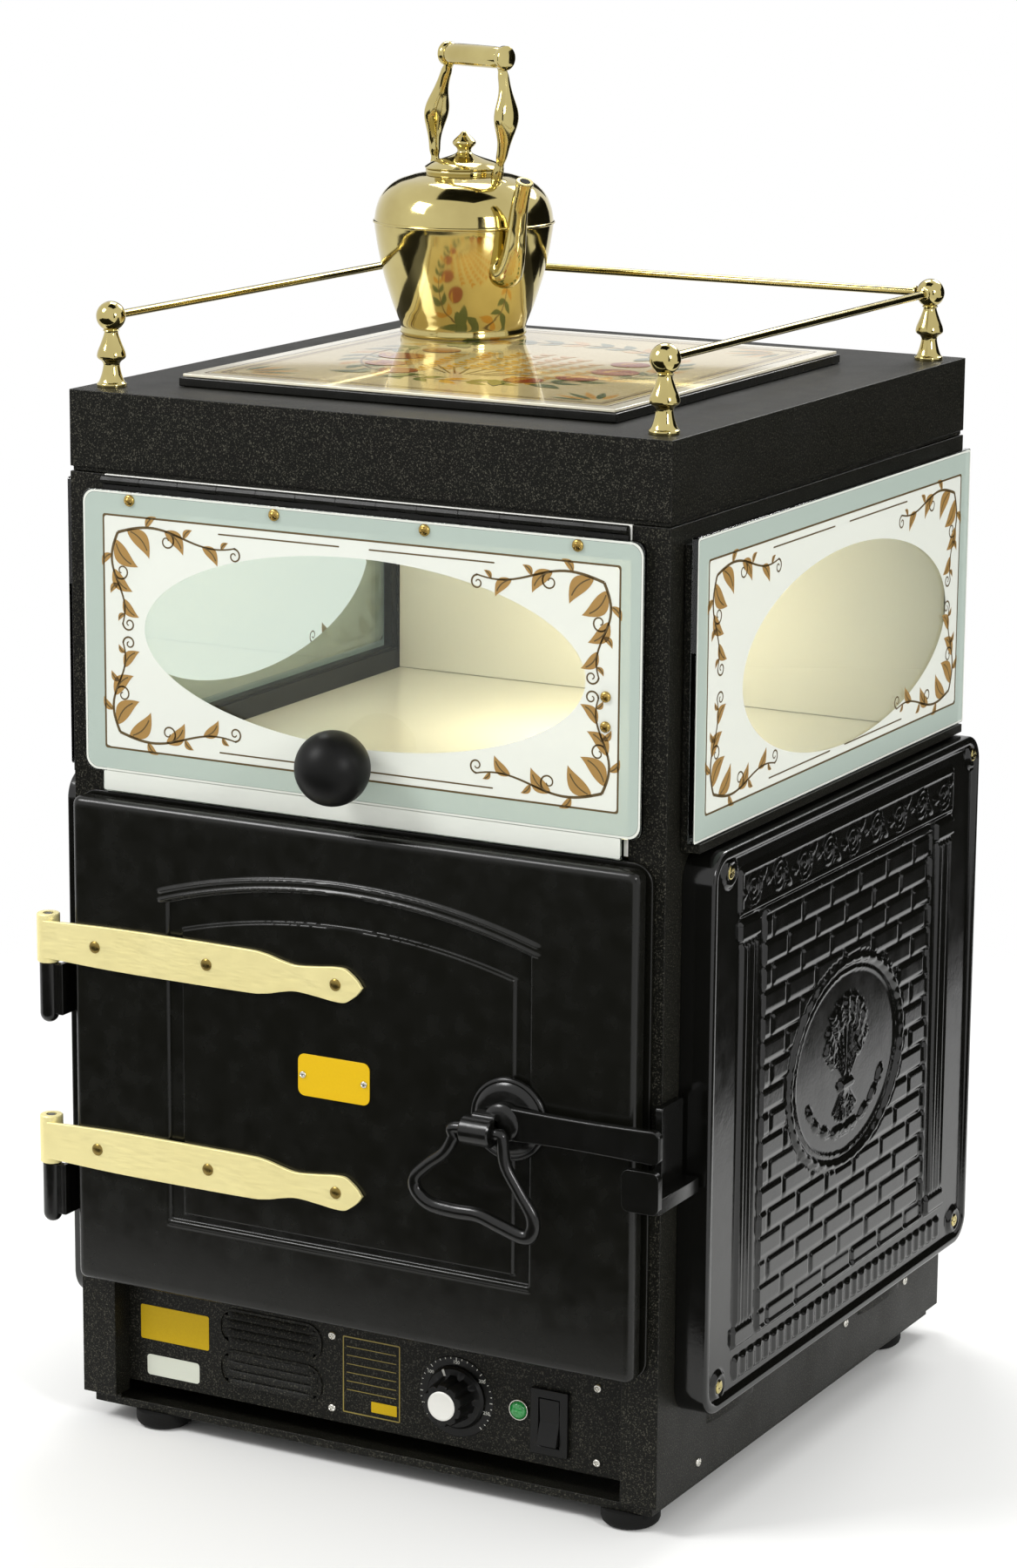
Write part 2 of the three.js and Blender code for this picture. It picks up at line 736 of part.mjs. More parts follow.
function dial() {
  const z = caseBottom + dialRise;
  const back = controlFace - seatGap;
  const profile = dialProfileShares.map(([wide, high]) => [wide * dialRadius, high * dialDepth]);
  let knob = turnedForward([[0, 0], ...profile, [0, dialDepth]], dialX, back, z, facets.smooth);
  const skirt = back - dialSkirtShare * dialDepth;
  for (let k = 0; k < dialFluteCount; k += 1) {
    const angle = (k / dialFluteCount) * TAU;
    const reach = dialGripShare * dialRadius + dialFluteRadius / 2;
    const flute = rod('y', dialX + reach * Math.cos(angle), z + reach * Math.sin(angle), dialFluteRadius,
      back - dialDepth - overrun, skirt, facets.tiny);
    knob = cut(knob, flute);
  }
  const spindle = rod('y', dialX, z, spindleRadius, skirt, back + spindleLength, facets.small);
  return join(knob, spindle);
}

function thermostat() {
  const z = caseBottom + dialRise;
  const front = controlFace + sheet + seatGap;
  const body = block([dialX - thermostatWidth / 2, dialX + thermostatWidth / 2],
    [front, front + thermostatDepth], [z - thermostatHeight / 2, z + thermostatHeight / 2]);
  const back = controlFace - seatGap;
  const spindleHole = rod('y', dialX, z, spindleRadius + seatGap, front - overrun,
    back + spindleLength + seatGap, facets.small);
  const bulbZ = openingTop - bulbFromTop;
  const rear = (linerBack + sheet + insulationThickness + halfDepth - sheet) / 2;
  const lowZ = z - thermostatHeight / 4;
  const start = front + thermostatDepth - capillaryRadius * 2;
  const upwards = new THREE.Vector3(0, 0, 1);
  const lower = bentBar([
    new THREE.Vector3(dialX, start, lowZ),
    new THREE.Vector3(dialX, rear, lowZ),
    new THREE.Vector3(bulbX, rear, lowZ),
  ], upwards, capillaryRadius, capillaryBend, facets.tiny);
  const upper = bentBar([
    new THREE.Vector3(bulbX, rear - capillaryRadius / 2, lowZ - capillaryRadius / 2),
    new THREE.Vector3(bulbX, rear - capillaryRadius / 2, bulbZ),
    new THREE.Vector3(bulbX, linerBack - bulbRadius, bulbZ),
  ], new THREE.Vector3(1, 0, 0), capillaryRadius, capillaryBend / 2, facets.tiny);
  const bulbBack = linerBack - seatGap - sheet;
  const bulb = rod('y', bulbX, bulbZ, bulbRadius, linerBack - bulbLength, bulbBack, facets.small);
  return join(cut(body, spindleHole), lower, upper, bulb);
}

function indicatorLens() {
  const dome = ballProfile(lensRadius, 0, 0, steps.wideCorner)
    .map(([radius, height]) => [radius, lensRimThickness + height * lensDomeHeight / lensRadius]);
  const z = caseBottom + lensRise;
  const back = controlFace - seatGap;
  const lens = turnedForward([[0, 0], [lensRadius, 0], ...dome], lensX, back, z);
  const stemFront = back - lensRimThickness;
  const stem = rod('y', lensX, z, lensStemRadius, stemFront, controlFace + lensStemLength, facets.coarse);
  return join(lens, stem);
}

const rockerHalf = switchHeight / 2 - switchWall - switchRim - switchClearance;

function switchHousing() {
  const z = caseBottom + switchRise;
  const front = controlFace - seatGap - switchRim;
  const rimHalfX = switchWidth / 2;
  const rimHalfZ = switchHeight / 2;
  const rim = block([switchX - rimHalfX, switchX + rimHalfX], [front, controlFace - seatGap],
    [z - rimHalfZ, z + rimHalfZ]);
  const back = controlFace + rockerHalf + switchWall;
  const body = block([switchX - rimHalfX + switchRim, switchX + rimHalfX - switchRim], [front, back],
    [z - rimHalfZ + switchRim, z + rimHalfZ - switchRim]);
  const halfX = rimHalfX - switchRim - switchWall;
  const halfZ = rimHalfZ - switchRim - switchWall;
  const well = block([switchX - halfX, switchX + halfX],
    [front - overrun, back - switchWall + switchClearance], [z - halfZ, z + halfZ]);
  return cut(join(rim, body), well);
}

// The rocker stands pressed in at its upper end; its back is a half round about the pivot.
function rocker() {
  const z = caseBottom + switchRise;
  const pivotY = controlFace - seatGap;
  const outline = [];
  for (let k = 0; k <= facets.coarse; k += 1) {
    const angle = (k / facets.coarse) * (TAU / 2);
    outline.push([rockerHalf * Math.sin(angle), rockerHalf * Math.cos(angle)]);
  }
  outline.push([-rockerLift, -rockerHalf], [-(rockerLift - rockerDip), 0], [-rockerLift, rockerHalf]);
  const turnedOutline = outline.map(([out, up]) => [
    pivotY + out * Math.cos(rockerTilt) + up * Math.sin(rockerTilt),
    z - out * Math.sin(rockerTilt) + up * Math.cos(rockerTilt),
  ]);
  const half = switchWidth / 2 - switchRim - switchWall - switchClearance / 2;
  return prism(polygon(turnedOutline), 'x', switchX - half, switchX + half);
}

function frontFrame() {
  const outer = roundedOutline([-halfWidth + frameSideMargin, halfWidth - frameSideMargin],
    [ovenBottom + frameFootMargin, ovenTop - frameHeadMargin], frameCorner);
  const opening = roundedOutline([-openingHalf, openingHalf], [openingBottom, openingTop], openingCorner);
  return cut(prism(outer, 'y', frameFace, frontY - seatGap, steps.wideCorner),
    prism(opening, 'y', frameFace - overrun, frontY + overrun, steps.corner));
}

// Pressed box with a front flange, rack runners on its side walls and holes for the elements and the sensor.
function ovenLiner() {
  const outer = block([-openingHalf - sheet, openingHalf + sheet], [frontY + sheet / 2, linerBack + sheet],
    [openingBottom - sheet, openingTop + sheet]);
  const flangeHalf = returnInner - seatGap;
  const flange = block([-flangeHalf, flangeHalf], [frontY, frontY + sheet],
    [ovenBottom + linerFlangeMargin, ovenTop - linerFlangeMargin]);
  const hollow = block([-openingHalf, openingHalf], [frontY - overrun, linerBack],
    [openingBottom, openingTop]);
  let liner = cut(join(outer, flange), hollow);
  rackLevels().forEach((level) => {
    [-1, 1].forEach((side) => {
      const wall = side * openingHalf;
      const tip = wall - side * runnerWidth;
      const reach = side > 0 ? [tip, wall + sheet / 2] : [wall - sheet / 2, tip];
      const top = level - rackFrameRadius - seatGap;
      const depth = [frontY + rackFrontMargin, linerBack + sheet / 2];
      liner = join(liner, block(reach, depth, [top - runnerHeight, top]));
    });
  });
  return cut(liner, ...wallHoles());
}

function rackLevels() {
  return rackLevelShares.map((share) => openingBottom + share * (openingTop - openingBottom));
}

// Holes through the chamber's back wall, shared by the liner and its insulation.
function wallHoles() {
  const reach = [linerBack - sheet - overrun, linerBack + sheet + insulationThickness + overrun];
  const tails = elementLevels().flatMap((level) => [-1, 1].map((side) => rod(
    'y', side * elementTailHalfWidth, level, elementRadius + seatGap, ...reach, facets.small)));
  const sensor = rod('y', bulbX, openingTop - bulbFromTop, capillaryRadius + seatGap * 2, ...reach,
    facets.small);
  return [...tails, sensor];
}

function elementLevels() {
  return [openingBottom + elementInset, openingTop - elementInset];
}

function insulationJacket() {
  const inner = openingHalf + sheet + seatGap;
  const bottom = openingBottom - sheet - seatGap;
  const top = openingTop + sheet + seatGap;
  const back = linerBack + sheet + seatGap;
  const front = frontY + sheet + seatGap;
  const thick = insulationThickness;
  const body = block([-inner - thick, inner + thick], [front, back + thick - seatGap],
    [bottom - thick, top + thick]);
  const hollow = block([-inner, inner], [front - overrun, back], [bottom, top]);
  return cut(body, hollow, ...wallHoles());
}

// Sheathed element: two tails through the back wall, an outer loop and an inner loop.
function heatingElement(level) {
  const tail = linerBack + elementTailLength;
  const front = linerBack - elementReach;
  const behind = linerBack - elementRearMargin;
  const inner = linerBack - elementLoopMargin;
  const place = (x, y) => new THREE.Vector3(x, y, level);
  const path = [
    place(-elementTailHalfWidth, tail), place(-elementTailHalfWidth, behind),
    place(-elementHalfWidth, behind), place(-elementHalfWidth, front), place(-elementInnerHalfWidth, front),
    place(-elementInnerHalfWidth, inner), place(elementInnerHalfWidth, inner),
    place(elementInnerHalfWidth, front), place(elementHalfWidth, front), place(elementHalfWidth, behind),
    place(elementTailHalfWidth, behind), place(elementTailHalfWidth, tail),
  ];
  return bentBar(path, new THREE.Vector3(0, 0, 1), elementRadius, elementBend, facets.tiny);
}

function wireRack(level) {
  const half = openingHalf - rackSideClearance - rackFrameRadius;
  const front = frontY + rackFrontMargin + rackFrameRadius;
  const back = linerBack - rackRearMargin - rackFrameRadius;
  const middle = new THREE.Vector3(0, front, level);
  const outline = [middle, new THREE.Vector3(half, front, level), new THREE.Vector3(half, back, level),
    new THREE.Vector3(-half, back, level), new THREE.Vector3(-half, front, level), middle];
  const up = new THREE.Vector3(0, 0, 1);
  let rack = bentBar(outline, up, rackFrameRadius, rackFrameBend);
  for (let k = 0; k < rackWireCount; k += 1) {
    const x = ((k + 1) / (rackWireCount + 1) - 0.5) * 2 * half;
    const z = level + rackFrameRadius - rackWireRadius;
    rack = join(rack, rod('y', x, z, rackWireRadius, front, back, facets.tiny));
  }
  return join(rack, rod('x', front, level, rackFrameRadius, -rackFrameBend, rackFrameBend, facets.small));
}

function doorOutline(halfLength, foot, spring, rise) {
  const radius = (halfLength * halfLength + rise * rise) / (2 * rise);
  const angle = Math.asin(halfLength / radius);
  const shape = new THREE.Shape();
  shape.moveTo(-halfLength, doorBottom + foot);
  shape.lineTo(halfLength, doorBottom + foot);
  shape.absarc(0, doorBottom + spring + rise - radius, radius, TAU / 4 - angle, TAU / 4 + angle);
  shape.closePath();
  return shape;
}

// Bead along the head of the arch, standing proud of the door's face.
function archBead() {
  const half = mouldingHalfWidth + archBeadOverhang;
  const radius = (mouldingHalfWidth ** 2 + mouldingRise ** 2) / (2 * mouldingRise);
  const angle = Math.asin(half / radius);
  const centre = doorBottom + mouldingSpring + mouldingRise - radius;
  const shape = new THREE.Shape();
  shape.absarc(0, centre, radius + archBeadWidth, TAU / 4 - angle, TAU / 4 + angle);
  shape.absarc(0, centre, radius, TAU / 4 + angle, TAU / 4 - angle, true);
  shape.closePath();
  return prism(shape, 'y', doorFace - archBeadHeight, doorFace + archBeadHeight, facets.small);
}

function doorSlab() {
  const outline = (inset) => roundedOutline([-doorHalf + inset, doorHalf - inset],
    [doorBottom + inset, doorTop - inset], doorEdgeRadius);
  const step = doorEdgeRadius / 2;
  const plate = join(prism(outline(0), 'y', doorFace + step, doorBack, steps.corner),
    prism(outline(step), 'y', doorFace, doorFace + 2 * step, steps.corner));
  const outer = prism(doorOutline(mouldingHalfWidth, mouldingFoot, mouldingSpring, mouldingRise), 'y',
    doorFace - overrun, doorFace + mouldingDepth, facets.small);
  const field = prism(doorOutline(fieldHalfWidth, fieldFoot, fieldSpring, fieldRise), 'y',
    doorFace - 2 * overrun, doorFace + 2 * mouldingDepth, facets.small);
  const spindleHole = rod('y', latchX, latchZ, latchSpindleRadius + seatGap, doorFace - overrun,
    doorBack + overrun, facets.coarse);
  return join(cut(plate, cut(outer, field), spindleHole), archBead());
}

function doorInnerPan() {
  const half = openingHalf - doorPanSideGap;
  const bottom = openingBottom + doorPanSideGap;
  const top = openingTop - doorPanSideGap;
  const front = doorBack + seatGap;
  const back = front + doorPanDepth;
  const outside = roundedOutline([-half, half], [bottom, top], doorPanCorner);
  const body = prism(outside, 'y', front, back, steps.corner);
  const inside = roundedOutline([-half + doorPanWall, half - doorPanWall],
    [bottom + doorPanWall, top - doorPanWall], doorPanCorner - doorPanWall);
  return cut(body, prism(inside, 'y', front - overrun, back - doorPanWall, steps.corner));
}

function doorSeal() {
  const half = openingHalf + sealMargin;
  const [bottom, top] = [openingBottom - sealMargin, openingTop + sealMargin];
  const corner = openingCorner + sealMargin;
  const reach = [doorBack + seatGap, frameFace - seatGap];
  const outer = roundedOutline([-half - sealWidth, half + sealWidth], [bottom - sealWidth, top + sealWidth],
    corner + sealWidth);
  const inner = roundedOutline([-half, half], [bottom, top], corner);
  return cut(prism(outer, 'y', ...reach, steps.wideCorner),
    prism(inner, 'y', reach[0] - overrun, reach[1] + overrun, steps.wideCorner));
}

function strapHinge(rise) {
  const z = doorBottom + rise;
  const edge = (side) => strapSpearShares
    .map(([along, high]) => [hingeX + along * strapLength, z + side * high * strapHalfHeight]);
  const outline = [...edge(1), ...edge(-1).slice(0, -1).reverse()];
  const leaf = prism(polygon(outline), 'y', strapFace, strapFace + strapThickness);
  const barrel = rod('z', hingeX, hingeY, barrelRadius, z - barrelLength / 2, z + barrelLength / 2);
  const bore = rod('z', hingeX, hingeY, hingePinRadius + hingePinClearance, z - barrelLength,
    z + barrelLength, facets.coarse);
  return cut(join(leaf, barrel), bore);
}

// Bracket on the case's left side: plate, arm, rod with a rounded foot, and the pin that the strap turns on.
function hingePintle(rise) {
  const head = doorBottom + rise - barrelLength / 2 - seatGap;
  const foot = head - pintleRodLength;
  const round = ballProfile(pintleRodRadius, 0, 0, steps.corner)
    .map(([radius, height]) => [radius, foot + pintleRodRadius - height])
    .reverse();
  const rodSolid = moved(turned([...round, [pintleRodRadius, head], [hingePinRadius, head],
    [hingePinRadius, head + barrelLength], [0, head + barrelLength]], facets.coarse), hingeX, hingeY, 0);
  const side = -halfWidth - seatGap;
  const low = foot + pintleRodRadius;
  const reach = [low, head - seatGap];
  const armFront = hingeY - pintleArmThickness / 2;
  const arm = block([hingeX, side], [armFront, armFront + pintleArmThickness], reach);
  const plate = block([side - pintlePlateThickness, side], [armFront, frontY + pintleReach], reach);
  return join(rodSolid, arm, plate);
}

function latchBoss() {
  const profile = bossProfileShares.map(([wide, high]) => [wide * bossRadius, high * bossThickness]);
  const back = doorFace - seatGap;
  const boss = turnedForward([[0, 0], ...profile, [0, bossThickness]], latchX, back, latchZ, facets.smooth);
  return cut(boss, rod('y', latchX, latchZ, latchSpindleRadius + seatGap, back - bossThickness - overrun,
    back + overrun, facets.coarse));
}

const knuckleY = frontY - knuckleStandoff;
const knuckleZ = latchZ - knuckleDrop;

// Level bar with its hub, its spindle through the door, and the knuckle that the ring hangs in.
function latchBar() {
  const hub = rod('y', latchX, latchZ, hubRadius, hubBack - hubLength, hubBack);
  const barOutline = roundedOutline([latchX - hubRadius / 2, halfWidth + keeperReachOut - barTipMargin],
    [latchZ - barHeight / 2, latchZ + barHeight / 2], barTipRadius);
  const bar = prism(barOutline, 'y', barBack - barThickness, barBack, steps.corner);
  const spindle = rod('y', latchX, latchZ, latchSpindleRadius, hubBack - hubLength / 2,
    doorBack + latchSpindleTail, facets.coarse);
  const centre = latchX + knuckleX;
  const reach = [centre - knuckleLength / 2, centre + knuckleLength / 2];
  const knuckle = rod('x', knuckleY, knuckleZ, knuckleRadius, ...reach);
  const web = block([reach[1] - knuckleWebLength, reach[1]], [knuckleY, hubBack - barStandoff],
    [latchZ - knuckleWebHeight / 2, latchZ + knuckleWebHeight / 2]);
  const bore = rod('x', knuckleY, knuckleZ, ringWireRadius + ringClearance, reach[0] - overrun,
    reach[1] + overrun, facets.coarse);
  return cut(join(hub, spindle, bar, knuckle, web), bore);
}

// Bent ring hanging from the knuckle: its straight head lies in the knuckle's bore.
function ringHandle() {
  const centre = latchX + knuckleX;
  const place = ([across, down]) => new THREE.Vector3(
    centre + across * ringReach, knuckleY, knuckleZ + down * ringDrop);
  const curve = new THREE.CatmullRomCurve3(ringOutlineShares.map(place), false, 'centripetal');
  const centres = curve.getSpacedPoints(steps.ring);
  const radii = centres.map(() => ringWireRadius);
  return swept(centres, new THREE.Vector3(0, 1, 0), radii, radii, facets.small, true);
}

// Hook beside the door's free edge: the bar drops into it behind the lip when the ring is turned.
function latchKeeper() {
  const side = halfWidth + seatGap;
  const outer = halfWidth + keeperReachOut;
  const head = latchZ - barHeight / 2 - keeperBarDrop;
  const foot = head - keeperLipHeight;
  const lipBack = barBack - barThickness - keeperBarClearance;
  const lipFace = lipBack - keeperLipThickness;
  const lip = prism(roundedOutline([doorHalf + keeperGap, outer], [foot, head], keeperLipCorner), 'y',
    lipFace, lipBack, steps.wideCorner);
  const arm = block([side, outer], [lipBack - keeperLipThickness / 2, frontY + keeperTabRear],
    [foot, foot + keeperArmHeight]);
  const tab = block([side, side + keeperTabThickness], [frontY - keeperTabFront, frontY + keeperTabRear],
    [foot, foot + keeperTabHeight]);
  return join(lip, arm, tab);
}

function displayFloor() {
  const z = ovenTop + displayFloorRise;
  const half = panelInner - seatGap;
  const plate = block([-half, half], [frontY + sheet + seatGap, halfDepth - sheet - seatGap], [z, z + sheet]);
  const lipHalf = returnInner - seatGap;
  const lip = block([-lipHalf, lipHalf], [frontY, frontY + sheet + 2 * seatGap],
    [z - displayLipDrop, z + displayLipHeight]);
  return join(plate, lip);
}

const ceilingZ = displayTop - ceilingDrop;

// White-enamelled back and ceiling in one sheet, with a front lip that the flap's hinge is screwed to.
function displayLiner() {
  const half = panelInner - 2 * seatGap;
  const backY = halfDepth - displayBackMargin;
  const front = frontY + sheet + seatGap;
  const back = block([-half, half], [backY, backY + sheet],
    [ovenTop + displayFloorRise + sheet + seatGap, ceilingZ + sheet]);
  const ceiling = block([-half, half], [front, backY + sheet], [ceilingZ, ceilingZ + sheet]);
  const lipHalf = returnInner - seatGap;
  const lip = block([-lipHalf, lipHalf], [frontY, front + seatGap], [displayTop - headerDrop, displayTop]);
  return join(back, ceiling, lip);
}

function lampHolder() {
  const top = ceilingZ - seatGap;
  const bottom = top - lampHolderHeight;
  const profile = [[0, top - lampHolderRoof], [lampCapRadius + seatGap, top - lampHolderRoof],
    [lampCapRadius + seatGap, bottom], [lampHolderRadius, bottom], [lampHolderRadius, top], [0, top]];
  return moved(turned(profile), 0, lampY, 0);
}

function lamp() {
  const top = ceilingZ - seatGap - lampHolderRoof - seatGap;
  const bottom = top - lampLength;
  const ball = ballProfile(lampRadius, bottom + lampRadius, -TAU / 4, facets.small).slice(0, -2);
  const shoulder = bottom + 2 * lampRadius + lampCapRadius / 4;
  return moved(turned([...ball, [lampCapRadius, shoulder], [lampCapRadius, top], [0, top]]), 0, lampY, 0);
}

const glassOuter = halfWidth + glassStandoff;
const glassInner = glassOuter - glassThickness;
const glassBottom = ovenTop + glassFoot;
const glassTop = displayTop - glassHead;

function sideGlass() {
  const reach = halfDepth - glassEndMargin;
  const outline = roundedOutline([-reach, reach], [glassBottom, glassTop], glassCorner);
  return prism(outline, 'x', glassInner, glassOuter, steps.corner);
}

// Surround that stands the glass off the case, with the ledge that the glass's lower edge sits on.
function glassFrame() {
  const reach = halfDepth - glassEndMargin - glassFrameInset;
  const [x0, x1] = [halfWidth + seatGap, glassInner - seatGap];
  const ledgeTop = glassBottom - seatGap;
  const ledgeFoot = ledgeTop - glassLedgeHeight;
  const head = glassTop - glassFrameInset;
  const outer = block([x0, x1], [-reach, reach], [ledgeFoot, head]);
  const hollow = block([x0 - overrun, x1 + overrun], [-reach + glassFrameWidth, reach - glassFrameWidth],
    [glassBottom + glassFrameWidth, head - glassFrameWidth]);
  const ledge = block([x0, glassOuter + glassLedgeReach], [-reach, reach], [ledgeFoot, ledgeTop]);
  return join(cut(outer, hollow), ledge);
}

// Etched front panel, with a narrower tongue below its rounded corners.
function flapPanel() {
  const foot = ovenTop;
  const shoulder = foot + flapTongueHeight;
  const head = displayTop - flapHeadMargin;
  const sheetOutline = roundedOutline([-flapHalfWidth, flapHalfWidth], [shoulder, head], flapCorner);
  const tongue = roundedOutline([-flapTongueHalfWidth, flapTongueHalfWidth],
    [foot, shoulder + 2 * flapCorner], glassCorner);
  return join(prism(sheetOutline, 'y', flapFace, flapBack, steps.wideCorner),
    prism(tongue, 'y', flapFace, flapBack, steps.corner));
}

// One leaf of the long hinge: every other knuckle is its own.
function hingeLeaf(own, leafBack, boreRadius) {
  const pitch = 2 * leafHalfWidth / leafKnuckleCount;
  const low = displayTop - headerDrop;
  const plateTop = flapAxisZ - leafKnuckleRadius - seatGap;
  let leaf = block([-leafHalfWidth, leafHalfWidth], [leafBack - leafThickness, leafBack], [low, plateTop]);
  for (let k = own; k < leafKnuckleCount; k += 2) {
    const reach = [-leafHalfWidth + k * pitch + seatGap / 2, -leafHalfWidth + (k + 1) * pitch - seatGap / 2];
    const tab = block(reach, [leafBack - leafThickness, leafBack], [plateTop - seatGap, flapAxisZ]);
    leaf = join(leaf, tab, rod('x', flapAxisY, flapAxisZ, leafKnuckleRadius, ...reach, facets.small));
  }
  const pin = rod('x', flapAxisY, flapAxisZ, boreRadius, -leafHalfWidth, leafHalfWidth, facets.tiny);
  return own === 0 ? join(leaf, pin) : cut(leaf, pin);
}

function flapKnob() {
  const back = flapFace - seatGap;
  const centre = flapKnobStandoff - (frontY - back);
  const neckAngle = -Math.acos(flapKnobNeckRadius / flapKnobRadius);
  const ball = ballProfile(flapKnobRadius, centre, neckAngle, steps.largeBall);
  return turnedForward([[0, 0], [flapKnobNeckRadius, 0], ...ball], 0, back, ovenTop + flapKnobRise,
    facets.smooth);
}

// Hollow-backed casting in low relief: rim bead, head banner, brick courses and an oval medallion.
function castPlate() {
  const [y0, y1] = [frontY + castFrontMargin, halfDepth - castRearMargin];
  const [z0, z1] = [caseBottom + castFoot, caseBottom + castFoot + castHeight];
  const back = halfWidth + seatGap;
  const rimFace = halfWidth + castStandoff;
  const face = rimFace - castRimHeight;
  const outline = (inset) => roundedOutline([y0 + inset, y1 - inset], [z0 + inset, z1 - inset],
    Math.max(castCorner - inset, castWall));
  const body = prism(outline(0), 'x', back, rimFace, steps.wideCorner);
  const hollow = prism(outline(castWall), 'x', back - overrun, face - castWall, steps.wideCorner);
  const field = prism(outline(castRimWidth), 'x', face, rimFace + overrun, steps.wideCorner);
  const bars = [];
  const inner = [y0 + castBannerMargin, y1 - castBannerMargin];
  const bannerTop = z1 - castBannerMargin;
  const low = face - castReliefRoot;
  bars.push(block([low, face + castBarHeight], inner, [bannerTop - castBannerHeight, bannerTop]));
  const span = bannerTop - castBannerHeight - (z0 + castBannerMargin);
  for (let k = 0; k < castCourseCount; k += 1) {
    const z = z0 + castBannerMargin + ((k + 0.5) / castCourseCount) * span;
    const course = [z - castCourseThickness / 2, z + castCourseThickness / 2];
    bars.push(block([low, face + castBarHeight], inner, course));
  }
  const centreY = (y0 + y1) / 2;
  const centreZ = z0 + castBannerMargin + span / 2;
  const ellipse = (lengthHalf, heightHalf) => {
    const shape = new THREE.Shape();
    shape.absellipse(centreY, centreZ, lengthHalf, heightHalf, 0, TAU);
    return shape;
  };
  const ground = prism(ellipse(castOvalHalfLength + castOvalBand, castOvalHalfHeight + castOvalBand), 'x',
    face, rimFace + overrun, facets.small);
  const band = cut(
    prism(ellipse(castOvalHalfLength, castOvalHalfHeight), 'x', low, face + castOvalHeight, facets.coarse),
    prism(ellipse(castOvalHalfLength - castOvalBand, castOvalHalfHeight - castOvalBand), 'x', face,
      rimFace + overrun, facets.coarse));
  const boss = prism(ellipse(castOvalHalfLength * castBossShare, castOvalHalfHeight * castBossShare), 'x',
    low, face + castBossHeight, facets.small);
  return join(cut(join(cut(body, hollow, field), ...bars), ground), band, boss);
}

function topCap() {
  const groove = displayTop + seatGap;
  const skirtFoot = groove + capGrooveHeight;
  const skirt = block([-halfWidth, halfWidth], [-halfDepth, halfDepth], [skirtFoot, caseTop]);
  const neckX = halfWidth - capGrooveDepth;
  const neckY = halfDepth - capGrooveDepth;
  const neck = block([-neckX, neckX], [-neckY, neckY], [groove, skirtFoot + sheet]);
  const hollow = block([-neckX + sheet, neckX - sheet], [-neckY + sheet, neckY - sheet],
    [groove - overrun, caseTop - sheet]);
  return cut(join(skirt, neck), hollow);
}

const postX = halfWidth - postInsetSide;
const postY = halfDepth - postInsetEnd;
const railZ = caseTop + seatGap + postHeight - postBallRadius;

function galleryPost(x, y) {
  const stem = postProfileShares.map(([wide, high]) => [wide * postBaseRadius, high * postHeight]);
  const neck = stem[stem.length - 1][0];
  const neckAngle = -Math.acos(neck / postBallRadius);
  const ball = ballProfile(postBallRadius, postHeight - postBallRadius, neckAngle, steps.ball);
  return moved(turned([[0, 0], ...stem, ...ball.slice(1)], facets.coarse), x, y, caseTop + seatGap);
}

function gallery() {
  addPiece('gallery_post_front_left', galleryPost(-postX, -postY), 'brass');
  addPiece('gallery_post_front_right', galleryPost(postX, -postY), 'brass');
  addPiece('gallery_post_rear_left', galleryPost(-postX, postY), 'brass');
  addPiece('gallery_post_rear_right', galleryPost(postX, postY), 'brass');
  const clear = postBallRadius + seatGap;
  const [alongX, alongY] = [postX - clear, postY - clear];
  addPiece('gallery_rail_left', rod('y', -postX, railZ, railRadius, -alongY, alongY, facets.coarse), 'brass');
  addPiece('gallery_rail_right', rod('y', postX, railZ, railRadius, -alongY, alongY, facets.coarse), 'brass');
  addPiece('gallery_rail_rear', rod('x', postY, railZ, railRadius, -alongX, alongX, facets.coarse), 'brass');
}

function pictureSlab() {
  const low = caseTop + seatGap;
  return block([slabShiftX - slabWidth / 2, slabShiftX + slabWidth / 2],
    [slabShiftY - slabDepth / 2, slabShiftY + slabDepth / 2], [low, low + slabThickness]);
}

function pictureTile() {
  const halfX = slabWidth / 2 - tileMargin;
  const halfY = slabDepth / 2 - tileMargin;
  return block([slabShiftX - halfX, slabShiftX + halfX], [slabShiftY - halfY, slabShiftY + halfY],
    [tileTop - tileThickness, tileTop]);
}

function kettleProfile(grow) {
  return kettleProfileShares.map(([wide, high]) => [wide * kettleRadius + grow, high * kettleShoulderHeight]);
}

function kettleSpoutSolid() {
  const along = new THREE.Vector3(Math.cos(spoutTurn), Math.sin(spoutTurn), 0);
  const planeNormal = new THREE.Vector3(-along.y, along.x, 0);
  const curve = new THREE.CatmullRomCurve3(spoutPathShares.map(([out, up]) => along.clone()
    .multiplyScalar(out * spoutReach).setZ(up * spoutTipRise)), false, 'centripetal');
  const last = facets.coarse;
  const centres = curve.getPoints(last);
  const radii = centres.map((_, i) => {
    const place = (i / last) * (spoutRadiusShares.length - 1);
    const k = Math.min(Math.floor(place), spoutRadiusShares.length - 2);
    return spoutRootRadius * THREE.MathUtils.lerp(spoutRadiusShares[k], spoutRadiusShares[k + 1], place - k);
  });
  const outer = swept(centres, planeNormal, radii, radii, facets.coarse);
  const tip = centres[last];
  const inward = centres[last - 1].clone().sub(tip).normalize();
  const boreLine = [-overrun, spoutBoreDepth].map((depth) => tip.clone().addScaledVector(inward, depth));
  const bore = swept(boreLine, planeNormal, [spoutBore, spoutBore], [spoutBore, spoutBore], facets.small);
  return cut(outer, bore);
}

